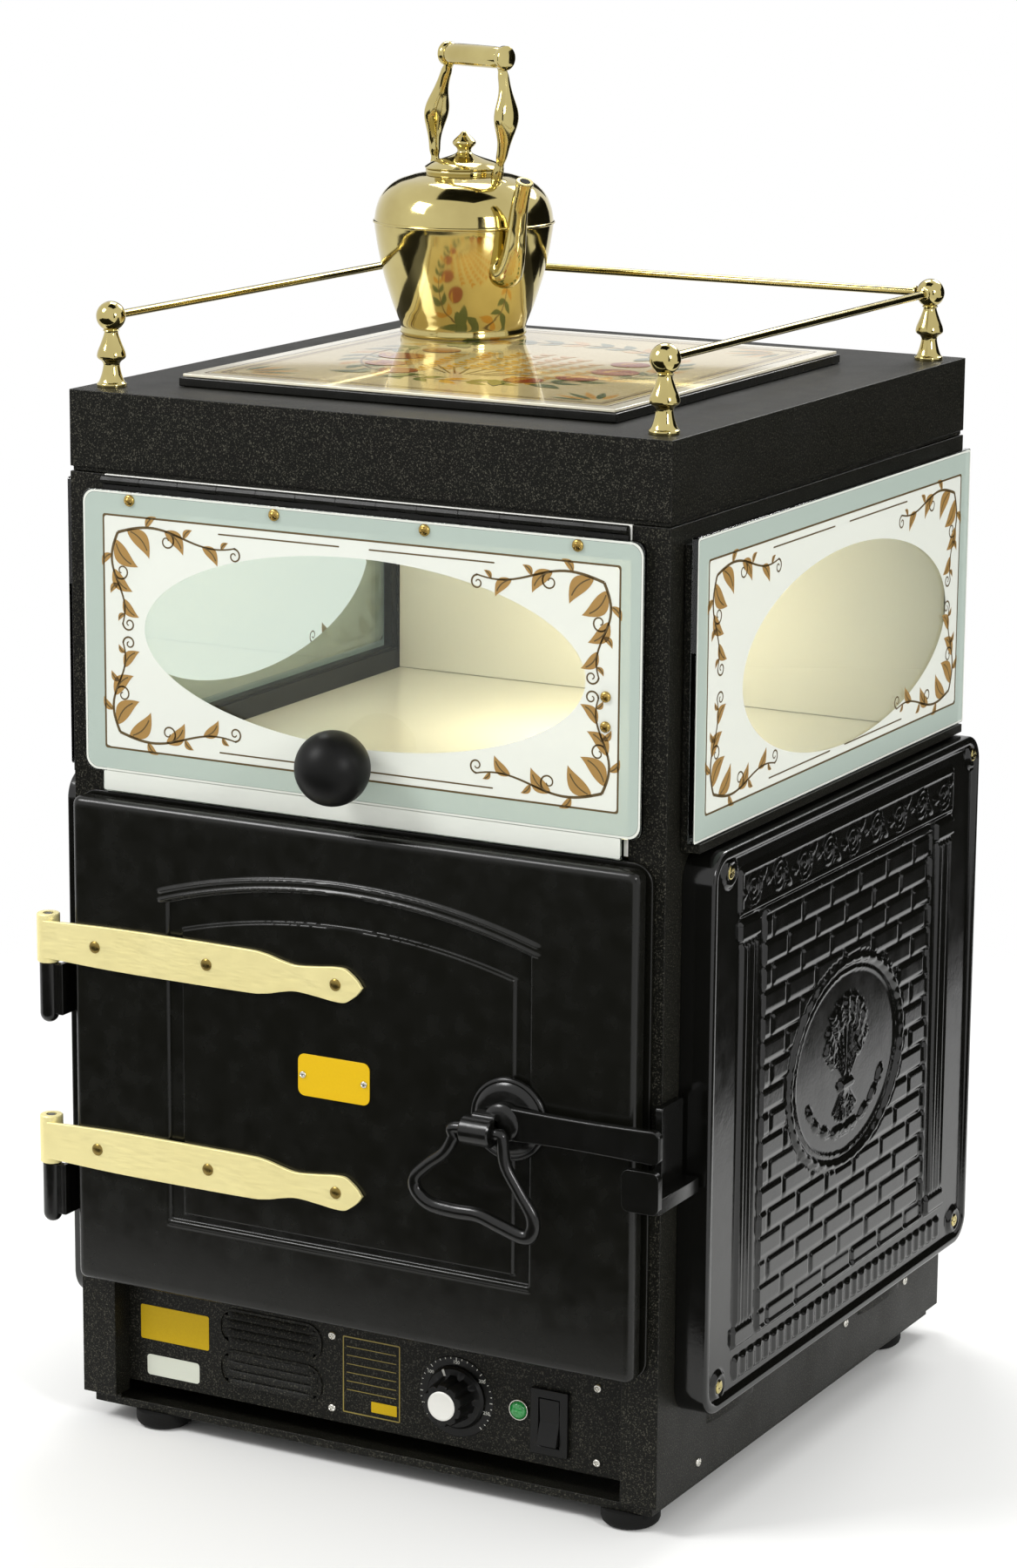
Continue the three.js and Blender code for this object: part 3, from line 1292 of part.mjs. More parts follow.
function kettleBody() {
  const collarTop = kettleShoulderHeight + kettleCollarHeight;
  const outer = kettleProfile(0);
  const wall = turned([[0, 0], ...outer, [kettleCollarRadius + kettleWall, kettleShoulderHeight],
    [kettleCollarRadius + kettleWall, collarTop], [0, collarTop]], facets.fine);
  const inside = kettleProfile(-kettleWall)
    .map(([radius, z]) => [radius, Math.max(z - kettleWall, kettleWall)])
    .slice(3, -1);
  const neckFoot = kettleShoulderHeight - kettleWall;
  const cavity = turned([[0, kettleWall], ...inside, [kettleCollarRadius, neckFoot],
    [kettleCollarRadius, collarTop + overrun], [0, collarTop + overrun]], facets.fine);
  return moved(cut(join(wall, kettleSpoutSolid()), cavity), kettleX, kettleY, kettleBase);
}

function kettleLid() {
  const base = kettleShoulderHeight + kettleCollarHeight + seatGap;
  const plug = kettleCollarRadius - kettleWall - lidPlugClearance;
  const dome = lidProfileShares.map(([wide, high]) => [wide * lidRadius, base + high * lidHeight]);
  const profile = [[0, base - lidPlugDepth], [plug, base - lidPlugDepth], [plug, base], ...dome,
    [0, base + lidHeight]];
  return moved(turned(profile), kettleX, kettleY, kettleBase);
}

// One upright of the handle, from its foot on the shoulder to the grip, bowed outwards and swollen half way.
function handleUpright(along, foot, head, bow) {
  const planeNormal = new THREE.Vector3(-along.y, along.x, 0);
  const low = kettleShoulderHeight * uprightFootShare;
  const last = facets.small;
  const centres = [];
  const inPlane = [];
  const across = [];
  for (let i = 0; i <= last; i += 1) {
    const share = i / last;
    const rise = THREE.MathUtils.smoothstep(share, uprightSwellStartShare, uprightSwellEndShare);
    const swell = Math.sin(Math.PI * rise) ** 2;
    const out = THREE.MathUtils.lerp(foot, head, share) + bow * Math.sin(Math.PI * share);
    centres.push(along.clone().multiplyScalar(out).setZ(THREE.MathUtils.lerp(low, gripHeight, share)));
    inPlane.push(uprightSlim * (1 + uprightSwellShare * swell));
    across.push(uprightSlim * (1 + (uprightBulgeShare - 1) * swell));
  }
  return swept(centres, planeNormal, inPlane, across, facets.small);
}

function kettleHandle() {
  const along = new THREE.Vector3(Math.cos(handleTurn), Math.sin(handleTurn), 0);
  const planeNormal = new THREE.Vector3(-along.y, along.x, 0);
  const at = (s) => along.clone().multiplyScalar(s).setZ(gripHeight);
  const rear = handleForward - gripLength / 2;
  const front = handleForward + gripLength / 2;
  const bar = (from, to, radius) => swept([at(from), at(to)], planeNormal, [radius, radius], [radius, radius],
    facets.coarse);
  const grip = join(bar(rear, front, gripRadius), bar(rear, rear + gripCapThickness, gripCapRadius),
    bar(front - gripCapThickness, front, gripCapRadius));
  const uprights = join(handleUpright(along, uprightFootRear, rear + uprightTopInset, -uprightBow),
    handleUpright(along, uprightFootFront, front - uprightTopInset, uprightBow));
  const collar = kettleCollarRadius + kettleWall + seatGap;
  const collarTop = kettleShoulderHeight + kettleCollarHeight;
  const shoulder = turned([[0, 0], ...kettleProfile(seatGap).map(([radius, z]) => [radius, z + seatGap]),
    [collar, kettleShoulderHeight + seatGap], [collar, collarTop], [0, collarTop]], facets.fine);
  return moved(cut(join(grip, uprights), shoulder), kettleX, kettleY, kettleBase);
}

function assemble() {
  const side = sidePanel();
  addPiece('left_side_panel', mirrored(side), 'blackPanel');
  addPiece('right_side_panel', side, 'blackPanel');
  addPiece('rear_panel', rearPanel(), 'blackPanel');
  addPiece('base_tray', baseTray(), 'blackPanel');
  feet();
  addPiece('control_panel', controlPanel(), 'blackPanel');
  addPiece('thermostat', thermostat(), 'steel');
  addPiece('thermostat_dial', dial(), 'blackPlastic');
  addPiece('indicator_lens', indicatorLens(), 'greenLens');
  addPiece('switch_housing', switchHousing(), 'blackPlastic');
  addPiece('rocker_switch', rocker(), 'blackPlastic');
  addPiece('cable_gland', cableGland(), 'blackPlastic');
  addPiece('front_frame', frontFrame(), 'blackPanel');
  addPiece('oven_liner', ovenLiner(), 'steel');
  addPiece('insulation_jacket', insulationJacket(), 'mineralWool');
  const [lowLevel, highLevel] = elementLevels();
  addPiece('lower_element', heatingElement(lowLevel), 'steel');
  addPiece('upper_element', heatingElement(highLevel), 'steel');
  const [lowRack, highRack] = rackLevels();
  addPiece('lower_rack', wireRack(lowRack), 'brightWire');
  addPiece('upper_rack', wireRack(highRack), 'brightWire');
  addPiece('door_slab', doorSlab(), 'blackCast');
  addPiece('door_inner_pan', doorInnerPan(), 'steel');
  addPiece('door_seal', doorSeal(), 'sealRope');
  const [lowStrap, highStrap] = strapRises;
  addPiece('lower_strap_hinge', strapHinge(lowStrap), 'satinBrass');
  addPiece('upper_strap_hinge', strapHinge(highStrap), 'satinBrass');
  addPiece('lower_hinge_pintle', hingePintle(lowStrap), 'blackCast');
  addPiece('upper_hinge_pintle', hingePintle(highStrap), 'blackCast');
  addPiece('latch_escutcheon', latchBoss(), 'blackCast');
  addPiece('latch_bar', latchBar(), 'blackCast');
  addPiece('ring_handle', ringHandle(), 'blackCast');
  addPiece('latch_keeper', latchKeeper(), 'blackCast');
  addPiece('display_floor', displayFloor(), 'whiteEnamel');
  addPiece('display_liner', displayLiner(), 'whiteEnamel');
  addPiece('lamp_holder', lampHolder(), 'whiteCeramic');
  addPiece('display_lamp', lamp(), 'lampGlass');
  const [glass, surround] = [sideGlass(), glassFrame()];
  addPiece('left_side_glass', mirrored(glass), 'etchedGlass');
  addPiece('right_side_glass', glass, 'etchedGlass');
  addPiece('left_glass_frame', mirrored(surround), 'blackPanel');
  addPiece('right_glass_frame', surround, 'blackPanel');
  addPiece('flap_panel', flapPanel(), 'etchedGlass');
  addPiece('flap_hinge_fixed_leaf', hingeLeaf(0, frontY - seatGap, leafPinRadius), 'blackPanel');
  addPiece('flap_hinge_moving_leaf',
    hingeLeaf(1, frontY - 2 * seatGap - leafThickness, leafPinRadius + seatGap), 'blackPanel');
  addPiece('flap_knob', flapKnob(), 'blackPlastic');
  const plate = castPlate();
  addPiece('left_cast_plate', mirrored(plate), 'blackCast');
  addPiece('right_cast_plate', plate, 'blackCast');
  addPiece('top_cap', topCap(), 'blackPanel');
  gallery();
  addPiece('picture_slab', pictureSlab(), 'blackPanel');
  addPiece('picture_tile', pictureTile(), 'pictureTile');
  addPiece('kettle_body', kettleBody(), 'brass');
  addPiece('kettle_handle', kettleHandle(), 'brass');
  addPiece('kettle_lid', kettleLid(), 'brass');
}

assemble();

// The origin lies under the middle of the whole outline: the flap knob reaches furthest forward and the gland
// furthest back.
const frontReach = halfDepth + flapKnobStandoff + flapKnobRadius;
const rearReach = halfDepth + seatGap + glandFlangeThickness + glandNutLength;
pieces.position.y = (frontReach - rearReach) / 2;

export default pieces;
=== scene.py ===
"""Dresses a counter-top potato baking oven: a black case with a strap-hinged door, a lit compartment behind
etched glass, a brass gallery round the top and a brass kettle standing on a glazed tile.

Sizes in the classes are millimetres in the frame's own axes: the front faces -Y, +X is right and +Z is up.
Profiles of turned pieces are pairs of radius and height.
"""

import json
import logging
import math
from collections.abc import Callable, Sequence
from dataclasses import dataclass
from enum import Enum
from functools import reduce
from typing import Any

import bmesh
import bpy
import numpy as np
from mathutils import Matrix, Vector

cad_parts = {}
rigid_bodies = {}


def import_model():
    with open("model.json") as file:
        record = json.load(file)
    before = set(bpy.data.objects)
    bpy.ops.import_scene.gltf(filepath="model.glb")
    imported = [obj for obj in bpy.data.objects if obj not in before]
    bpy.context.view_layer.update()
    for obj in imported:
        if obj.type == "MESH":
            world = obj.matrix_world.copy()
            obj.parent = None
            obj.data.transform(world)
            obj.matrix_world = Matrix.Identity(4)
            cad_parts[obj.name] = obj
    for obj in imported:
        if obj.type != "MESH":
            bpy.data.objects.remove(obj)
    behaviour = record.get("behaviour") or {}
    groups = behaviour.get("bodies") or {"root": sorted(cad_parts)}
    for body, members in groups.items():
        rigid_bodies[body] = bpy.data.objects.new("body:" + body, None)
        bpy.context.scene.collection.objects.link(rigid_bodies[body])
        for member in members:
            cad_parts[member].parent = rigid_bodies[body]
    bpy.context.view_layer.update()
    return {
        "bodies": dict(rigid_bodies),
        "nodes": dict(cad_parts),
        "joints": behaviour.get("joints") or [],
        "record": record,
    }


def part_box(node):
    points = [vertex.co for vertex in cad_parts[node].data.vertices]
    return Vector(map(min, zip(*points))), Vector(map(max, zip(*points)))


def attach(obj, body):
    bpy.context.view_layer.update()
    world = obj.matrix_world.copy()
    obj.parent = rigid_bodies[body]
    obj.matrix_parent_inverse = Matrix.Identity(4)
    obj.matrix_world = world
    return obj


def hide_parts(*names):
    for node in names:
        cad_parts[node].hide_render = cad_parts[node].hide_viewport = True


Array = np.ndarray
Socket = bpy.types.NodeSocket
Material = bpy.types.Material
Mesh = bpy.types.Mesh
Pair = tuple[float, float]
Pairs = tuple[Pair, ...]
Triple = tuple[float, float, float]
Place = Sequence[float] | Array
Points = Sequence[Place] | Array
Heights = Callable[[Array, Array], Array]
MM = 0.001
TAU = 2 * math.pi
FRONT, BACK, RIGHT, UP = (0, -1, 0), (0, 1, 0), (1, 0, 0), (0, 0, 1)
CORNERS = ("front_left", "front_right", "rear_left", "rear_right")
CASE_HALF = 225.3
log = logging.getLogger("oven")


# Finishes


def linear(hex_colour: str) -> tuple[float, float, float, float]:
    """Turns an sRGB colour, "#rrggbb", to the linear red, green, blue and alpha that a shader takes."""
    part = np.array([int(hex_colour[k:k + 2], 16) for k in (1, 3, 5)]) / 255
    return (*np.where(part <= 0.04045, part / 12.92, ((part + 0.055) / 1.055) ** 2.4).tolist(), 1)


def add_node(tree: bpy.types.NodeTree, kind: str, sockets: dict[Any, Any] | None = None,
             **settings: Any) -> bpy.types.Node:
    """Adds a shader node with its settings and links.

    Args:
        tree: The node tree.
        kind: The node's type name.
        sockets: Input name or number, with the value or the output socket that it takes.
        **settings: The node's own properties.

    Returns:
        The node.
    """
    node = tree.nodes.new(kind)
    for key, value in settings.items():
        setattr(node, key, value)
    for key, value in (sockets or {}).items():
        if isinstance(value, Socket):
            tree.links.new(value, node.inputs[key])
        else:
            node.inputs[key].default_value = value
    return node


@dataclass(frozen=True)
class Layer:
    """A noise of a real size in millimetres, and what it does to a finish.

    Detail is how many finer noises it holds, and a stretch below 1 draws it out along that axis. It raises
    the surface by its height times the finish's depth. The gloss pair is what the roughness is multiplied
    by, and the share pair how much of the second colour there is, at the two ends of the noise's span.
    """

    size: float
    detail: float = 2
    stretch: Triple = (1, 1, 1)
    height: float = 0
    gloss: Pair | None = None
    colours: tuple[str, str] | None = None
    share: Pair = (0, 1)
    span: Pair = (0.3, 0.7)
    socket: str = "Base Color"


@dataclass(frozen=True)
class Finish:
    """A real material and how its surface was made; the base of every finish here. The grain is the size of
    the surface's texture, and the depth is how far it stands up."""

    name: str
    colour: str
    roughness: float = 0.5
    metallic: float = 0
    grain: float = 1.5
    depth: float = 0.05
    specular: float = 0.5

    def layers(self) -> tuple[Layer, ...]:
        """A fine even grain, and a slow change of gloss over the piece."""
        return Layer(self.grain, height=1), Layer(60, gloss=(0.9, 1.1))

    def inputs(self) -> dict[str, float]:
        """The shader's other settings."""
        return {}

    def build(self) -> Material:
        """Makes the material: each layer's noise drives the gloss, the colour or the height.

        Returns:
            The new material.
        """
        material = bpy.data.materials.new(self.name)
        material.use_nodes = True
        tree = material.node_tree
        tree.nodes.clear()
        shader = add_node(tree, "ShaderNodeBsdfPrincipled", {
            "Base Color": linear(self.colour), "Metallic": self.metallic, "Roughness": self.roughness,
            "Specular IOR Level": self.specular, **self.inputs()})
        add_node(tree, "ShaderNodeOutputMaterial", {"Surface": shader.outputs["BSDF"]})
        place = add_node(tree, "ShaderNodeTexCoord").outputs["Object"]
        height: Socket | float = 0
        for layer in self.layers():
            spot = add_node(tree, "ShaderNodeMapping", {"Vector": place, "Scale": layer.stretch})
            noise = add_node(tree, "ShaderNodeTexNoise", {
                "Vector": spot.outputs["Vector"], "Scale": 1 / (layer.size * MM),
                "Detail": layer.detail}).outputs["Fac"]
            span = {"Value": noise, "From Min": layer.span[0], "From Max": layer.span[1]}
            if layer.gloss:
                low, high = (self.roughness * factor for factor in layer.gloss)
                gloss = add_node(tree, "ShaderNodeMapRange", span | {"To Min": low, "To Max": high})
                tree.links.new(gloss.outputs["Result"], shader.inputs["Roughness"])
            if layer.colours:
                low, high = layer.share
                share = add_node(tree, "ShaderNodeMapRange", span | {"To Min": low, "To Max": high})
                first, second = (linear(colour) for colour in layer.colours)
                mix = add_node(tree, "ShaderNodeMix", {0: share.outputs["Result"], 6: first, 7: second},
                               data_type="RGBA")
                tree.links.new(mix.outputs[2], shader.inputs[layer.socket])
            if layer.height:
                height = add_node(tree, "ShaderNodeMath", {0: noise, 1: layer.height, 2: height},
                                  operation="MULTIPLY_ADD").outputs["Value"]
        if isinstance(height, Socket):
            bump = add_node(tree, "ShaderNodeBump", {"Height": height, "Distance": self.depth * MM})
            tree.links.new(bump.outputs["Normal"], shader.inputs["Normal"])
        return material


@dataclass(frozen=True)
class PowderCoat(Finish):
    """Black texture powder coat, sprayed and baked: a pebbled skin whose tops are painted lighter as specks,
    a painted highlight.
    """

    highlight_speck: str = "#4f4d43"

    def layers(self) -> tuple[Layer, ...]:
        """The pebbles, whose tops carry the specks of painted highlight, and a slow change of gloss."""
        pebbles = Layer(self.grain, 3, height=1, colours=(self.colour, self.highlight_speck), span=(0.55, 0.72))
        return pebbles, Layer(45, gloss=(0.881, 1.119))


@dataclass(frozen=True)
class CastSkin(Finish):
    """Enamel over a casting or forging: the metal's grain shows softened through the paint."""

    def layers(self) -> tuple[Layer, ...]:
        """The metal's grain, and a slow waviness of twice its height."""
        return Layer(self.grain, 3, height=1), Layer(14, height=2, gloss=(0.8, 1.25))


class Polish(Enum):
    """How a metal piece is worked: the factors on X, Y and Z that draw its lines out."""

    MIRROR = (1, 1, 1)
    ROLLED = (0.06, 1, 1)
    BRUSHED = (0.03, 1, 1)


@dataclass(frozen=True)
class Metal(Finish):
    """Worked metal: fine lines left by the polish, and darker or warmer metal where hands don't rub it."""

    polish: Polish = Polish.MIRROR
    patches: str = "#857039"
    patch_size: float = 35
    patch_share: float = 0.3
    line_gloss: Pair = (0.75, 1.3)

    def layers(self) -> tuple[Layer, ...]:
        """The polishing lines, and the patches."""
        lines = Layer(self.grain, stretch=self.polish.value, height=1, gloss=self.line_gloss)
        return lines, Layer(self.patch_size, 3, colours=(self.colour, self.patches),
                            share=(0, self.patch_share))


@dataclass(frozen=True)
class RolledSteel(Metal):
    """Cold-rolled sheet, lightly brushed along its length and warmed to straw by the oven."""

    polish: Polish = Polish.BRUSHED
    patches: str = "#8d8166"
    patch_size: float = 90
    patch_share: float = 0.7
    line_gloss: Pair = (0.8, 1.3)


@dataclass(frozen=True)
class Fibre(Finish):
    """Mineral wool or woven glass rope: matt crossing fibres in two tones."""

    shade: str = "#5b4f30"

    def layers(self) -> tuple[Layer, ...]:
        """The fibres' two tones and their rough pile."""
        return (Layer(self.grain, 5, height=1, colours=(self.colour, self.shade)),)


@dataclass(frozen=True)
class PlateGlass(Finish):
    """Toughened float glass: clear, with the faint green of its iron and a flame-smooth face."""

    def layers(self) -> tuple[Layer, ...]:
        """A slow waviness left by the toughening rollers."""
        return (Layer(self.grain, height=1),)

    def inputs(self) -> dict[str, float]:
        """Clear all through, with the bending of light that glass has."""
        return {"Transmission Weight": 1, "IOR": 1.5}


@dataclass(frozen=True)
class Etching(Finish):
    """Acid-etched glass: the pitted face scatters light, so it reads as a milky film that is half clear."""

    grain: float = 0.8
    depth: float = 0.02
    cover: float = 0.7

    def layers(self) -> tuple[Layer, ...]:
        """The acid's fine pits."""
        return (Layer(self.grain, 3, height=1, gloss=(0.9, 1.1)),)

    def inputs(self) -> dict[str, float]:
        """How much of what lies behind the film it hides."""
        return {"Alpha": self.cover}


@dataclass(frozen=True)
class Glaze(Finish):
    """Printed colour under a clear fired glaze: a fine stipple of ink below a glassy face."""

    stipple: str = "#ffffff"
    coat: float = 0.7

    def layers(self) -> tuple[Layer, ...]:
        """The stippled ink, and the glaze's slow ripple."""
        ink = Layer(self.grain, 3, colours=(self.colour, self.stipple), share=(0, 0.3))
        return ink, Layer(25, height=1)

    def inputs(self) -> dict[str, float]:
        """The clear coat and its smoothness."""
        return {"Coat Weight": self.coat, "Coat Roughness": 0.03}


@dataclass(frozen=True)
class GlowingGlass(Finish):
    """Pearl lamp glass, lit from inside through its slightly uneven coating."""

    strength: float = 4

    def layers(self) -> tuple[Layer, ...]:
        """The glow's two warm tones."""
        return (Layer(self.grain, colours=("#ffe2ae", "#fff3da"), span=(0, 1), socket="Emission Color"),)

    def inputs(self) -> dict[str, float]:
        """How brightly the glass glows."""
        return {"Emission Strength": self.strength}


# Texture powder coat shows as specks, painted highlight on the pebble tops; its grain is finer than 1 mm and
# is drawn coarse so that it shows.
POWDER_COAT = PowderCoat("texture_powder_coat_black", "#0e0e0a", 0.42, grain=1, depth=0.13, specular=0.15)
# Stoved enamel has a slight orange peel; on castings and forgings the sand and the scale show through it.
STOVE_ENAMEL = CastSkin("stoved_enamel_satin_black", "#0e0e0a", 0.24, grain=2.2, depth=0.02, specular=0.34)
CAST_ENAMEL = CastSkin("gloss_enamel_on_casting", "#0a0a08", 0.13, grain=2.4, depth=0.03)
FORGED_ENAMEL = CastSkin("satin_enamel_on_forging", "#0a0a08", 0.22, grain=3, depth=0.05, specular=0.42)
# Polished brass mirrors the room, rolled brass scatters it to a pale straw, old rivets and screws are brown.
BRIGHT_BRASS = Metal("polished_lacquered_brass", "#c8ba7e", 0.09, 1, 8, 0.004)
SATIN_BRASS = Metal("satin_rolled_brass", "#f3e7a8", 0.46, 0.45, 0.9, 0.003, polish=Polish.ROLLED,
                    patches="#e9db96")
AGED_BRASS = Metal("aged_brass_rivet", "#8a7640", 0.32, 1, 1.5, 0.01, patches="#4a3c1e")
SCREW_BRASS = Metal("turned_brass_screw", "#b89c58", 0.24, 1, 1, 0.01, patches="#6a5528")
# Brushed sheet streaks along its length; spun and anodised aluminium is paler and nearly matt.
LINER_STEEL = RolledSteel("brushed_stainless_sheet", "#a3a09a", 0.34, 1, 0.8, 0.01)
CAP_SILVER = RolledSteel("spun_aluminium_cap", "#ecebe5", 0.42, 0.3, 0.6, 0.01, patches="#dcdbd4")
LABEL_SILVER = RolledSteel("anodised_aluminium_label", "#dde0d2", 0.4, 0.35, 0.6, 0.01, patches="#c9cdbc")
# Plated wire and screws are bright and even; white enamel and porcelain are glassy and pure.
BRIGHT_WIRE = Finish("nickel_plated_wire", "#c9c7c1", 0.16, 1, 2, 0.01)
SCREW_STEEL = Finish("zinc_plated_screw_steel", "#d3d1c8", 0.25, 1, 1, 0.01)
WHITE_ENAMEL = Finish("vitreous_enamel_white", "#ecebe4", 0.18, 0, 9, 0.03)
PORCELAIN = Finish("glazed_porcelain", "#e9e4d8", 0.15, 0, 5, 0.02)
# Float glass is clear; its etched and sand-blasted faces are milky, and the etched lines are filled brown.
CLEAR_GLASS = PlateGlass("toughened_float_glass", "#eef6f0", 0, grain=70, depth=0.01)
# The milky etched finish also paints the highlight along each pane's bevelled edge, as a whiter ring.
FROSTED_AND_EDGE_HIGHLIGHT = Etching("acid_etched_glass", "#e3e6dd", 0.55, cover=0.8)
FROSTED_RIM = Etching("sand_blasted_glass_rim", "#b9c7bd", cover=0.7)
ETCHED_LINE = Etching("etched_line_work", "#5d4c2c", 0.35, cover=0.9)
ETCHED_LEAF = Etching("etched_leaf_work", "#a88346", 0.35, cover=0.8)
LAMP_GLASS = GlowingGlass("pearl_lamp_glass", "#fff4de", 0.3, grain=12)
# Wool and rope are matt and woolly.
MINERAL_WOOL = Fibre("resin_bonded_mineral_wool", "#b49c5e", 0.95, grain=3, depth=0.8)
GLASS_ROPE = Fibre("woven_glass_rope", "#a4a298", 0.9, grain=2, depth=0.4, shade="#55534c")
# Moulded pieces are even: rubber is dull, phenolic has a soft sheen, the cloth of the black cards has none.
# The dull black rubber also serves as painted shade inside the kettle's spout.
RUBBER_AND_SPOUT_SHADE = Finish("moulded_rubber_black", "#0f0f0e", 0.75, grain=1.2, specular=0.2)
BLACK_PLASTIC = Finish("moulded_phenolic_black", "#0c0c0b", 0.34, grain=1, depth=0.02, specular=0.25)
KNOB_PLASTIC = Finish("moulded_phenolic_satin", "#0e0e0d", 0.42, depth=0.03, specular=0.14)
FLAG_CLOTH = Finish("black_flag_cloth", "#12120e", 0.9, grain=2, specular=0.1)
MARK_WHITE = Finish("printed_white_ink", "#cfcfc6", 0.5, grain=0.8, depth=0.01)
MARK_GOLD = Finish("printed_gold_ink", "#8a7a35", 0.45, grain=0.8, depth=0.01)
# Colour under a clear face: the lens and the tile are glassy, the foil label and the sign have no coat.
LENS_GREEN = Glaze("moulded_acrylic_green", "#0f7a2e", 0.12, depth=0.01, stipple="#58d27a")
LABEL_YELLOW = Glaze("printed_yellow_foil", "#c9a710", 0.4, grain=1.2, depth=0.01, specular=0.15,
                     stipple="#b8960f", coat=0)
SIGN_YELLOW = Glaze("vitreous_enamel_yellow", "#d8b00c", 0.3, depth=0.01, specular=0.2,
                    stipple="#cca30a", coat=0)
TILE_WHITE, TILE_CREAM, TILE_BROWN, TILE_GREEN, TILE_OCHRE, TILE_RUST = (
    Glaze(name, colour, 0.12, grain=0.9, depth=0.02, stipple=stipple) for name, colour, stipple in (
        ("glazed_tile_white", "#e6dfc8", "#dad2ba"), ("glazed_print_cream", "#cbb986", "#c3ae74"),
        ("glazed_print_brown", "#5a4424", "#8c6c38"), ("glazed_print_green", "#4d5a2b", "#7c8440"),
        ("glazed_print_ochre", "#c08a2c", "#e0b455"), ("glazed_print_rust", "#8f3f1c", "#c06a35")))


# Surfaces worked out on grids


@dataclass
class Shell:
    """Points in millimetres and the faces that join them into closed surfaces."""

    points: Array
    faces: list[list[int]]

    def __add__(self, other: "Shell") -> "Shell":
        """Puts two shells into one."""
        shifted = [[index + len(self.points) for index in face] for face in other.faces]
        return Shell(np.vstack([self.points, other.points]), self.faces + shifted)

    def mirrored(self) -> "Shell":
        """The mirror image, left for right."""
        return Shell(self.points * (-1, 1, 1), self.faces)


def together(shells: Sequence[Shell]) -> Shell:
    """Puts any number of shells into one."""
    return reduce(Shell.__add__, shells)


def grid_shell(points: Array, ring: bool = True, loop: bool = False, caps: bool = True) -> Shell:
    """Joins a grid of points with four-sided faces.

    Args:
        points: Rows along the piece, columns round it, and x, y, z.
        ring: Whether the last column meets the first.
        loop: Whether the last row meets the first.
        caps: Whether the first and last rows are filled.

    Returns:
        The shell.
    """
    rows, columns, _ = points.shape
    index = np.arange(rows * columns).reshape(rows, columns)
    ends = [index[0][::-1].tolist(), index[-1].tolist()]
    if ring:
        index = np.concatenate([index, index[:, :1]], axis=1)
    if loop:
        index = np.concatenate([index, index[:1]], axis=0)
    corners = [index[:-1, :-1], index[:-1, 1:], index[1:, 1:], index[1:, :-1]]
    faces = np.stack(corners, axis=-1).reshape(-1, 4).tolist()
    if caps and not loop:
        faces += ends
    return Shell(points.reshape(-1, 3), faces)


def smooth_line(points: Points, count: int) -> Array:
    """A smooth line through given points: between two of them, a cubic whose slope at each is half the step
    from its neighbour before to its neighbour after.

    Args:
        points: The points that the line passes through.
        count: How many points come back.

    Returns:
        The line's points.
    """
    given = np.array(points)
    padded = np.vstack([2 * given[0] - given[1], given, 2 * given[-1] - given[-2]])
    place = np.linspace(0, len(given) - 1, count)
    start = np.minimum(place.astype(int), len(given) - 2)
    s = (place - start)[:, None]
    a, b, c, d = (padded[start + k] for k in range(4))
    square, cube = (2 * a - 5 * b + 4 * c - d) * s ** 2, (3 * b - 3 * c + d - a) * s ** 3
    return 0.5 * (2 * b + (c - a) * s + square + cube)


def basis(axis: Place) -> tuple[Array, Array, Array]:
    """Three square directions, the last of them the axis.

    Args:
        axis: The third direction.

    Returns:
        The first, second and third unit directions.
    """
    third = np.array(axis) / np.linalg.norm(axis)
    first = np.cross(UP if abs(third[2]) < 0.9 else RIGHT, third)
    first /= np.linalg.norm(first)
    return first, np.cross(third, first), third


def lathe(profile: Points, centre: Place, axis: Place, columns: int = 40, swell: Heights | None = None,
          hollow: bool = False) -> Shell:
    """A turned surface: each profile point (radius, height) goes round the axis, at the centre plus the
    height along the axis plus the radius times (cosine, sine) of the angle.

    Args:
        profile: Radius and height of each point, from one end to the other.
        centre: Where height 0 lies on the axis.
        axis: The direction of growing height.
        columns: How many points go round.
        swell: Factor on the radius for each angle and height, or None.
        hollow: Whether the profile's last point meets its first, which leaves the middle open.

    Returns:
        The shell.
    """
    radius, height = np.array(profile).T
    first, second, third = basis(axis)
    angle = np.arange(columns) * TAU / columns
    spread = radius[:, None] * np.ones_like(angle)[None]
    if swell is not None:
        spread = spread * swell(angle[None], height[:, None])
    turn = np.cos(angle)[None, :, None] * first + np.sin(angle)[None, :, None] * second
    points = centre + height[:, None, None] * third + spread[..., None] * turn
    return grid_shell(points, loop=hollow)


def tube(path: Array, normal: Place, radius: float | Array, across: float | Array | None = None,
         sides: int = 20, loop: bool = False) -> Shell:
    """A bar along a path that lies in one plane: round each point goes an ellipse with one half-width in the
    plane, square to the path, and the other along the plane's normal.

    Args:
        path: The path's points.
        normal: The direction square to the path's plane.
        radius: The half-width in the plane, for all points or for each.
        across: The half-width along the normal, or None for a round bar.
        sides: How many points go round.
        loop: Whether the path closes on itself.

    Returns:
        The shell.
    """
    inner = radius * np.ones(len(path))
    outer = inner if across is None else across * np.ones(len(path))
    tangent = np.roll(path, -1, axis=0) - np.roll(path, 1, axis=0) if loop else np.gradient(path, axis=0)
    tangent /= np.linalg.norm(tangent, axis=1)[:, None]
    upright = np.array(normal) / np.linalg.norm(normal)
    side = np.cross(upright, tangent)
    angle = np.arange(sides) * TAU / sides
    points = (path[:, None] + (inner[:, None] * np.cos(angle))[..., None] * side[:, None]
              + (outer[:, None] * np.sin(angle))[..., None] * upright)
    return grid_shell(points, loop=loop)


def placed(outline: Array, axis: int, level: float | Array) -> Array:
    """Flat points set at a level, or one each, on an axis; their own coordinates take the other axes."""
    return np.insert(outline, axis, np.broadcast_to(level, outline.shape[:-1]), axis=-1)


def slab(outline: Array, axis: int, low: float, high: float) -> Shell:
    """A flat piece: an outline carried from one level to another, with both ends filled."""
    return grid_shell(np.stack([placed(outline, axis, low), placed(outline, axis, high)]))


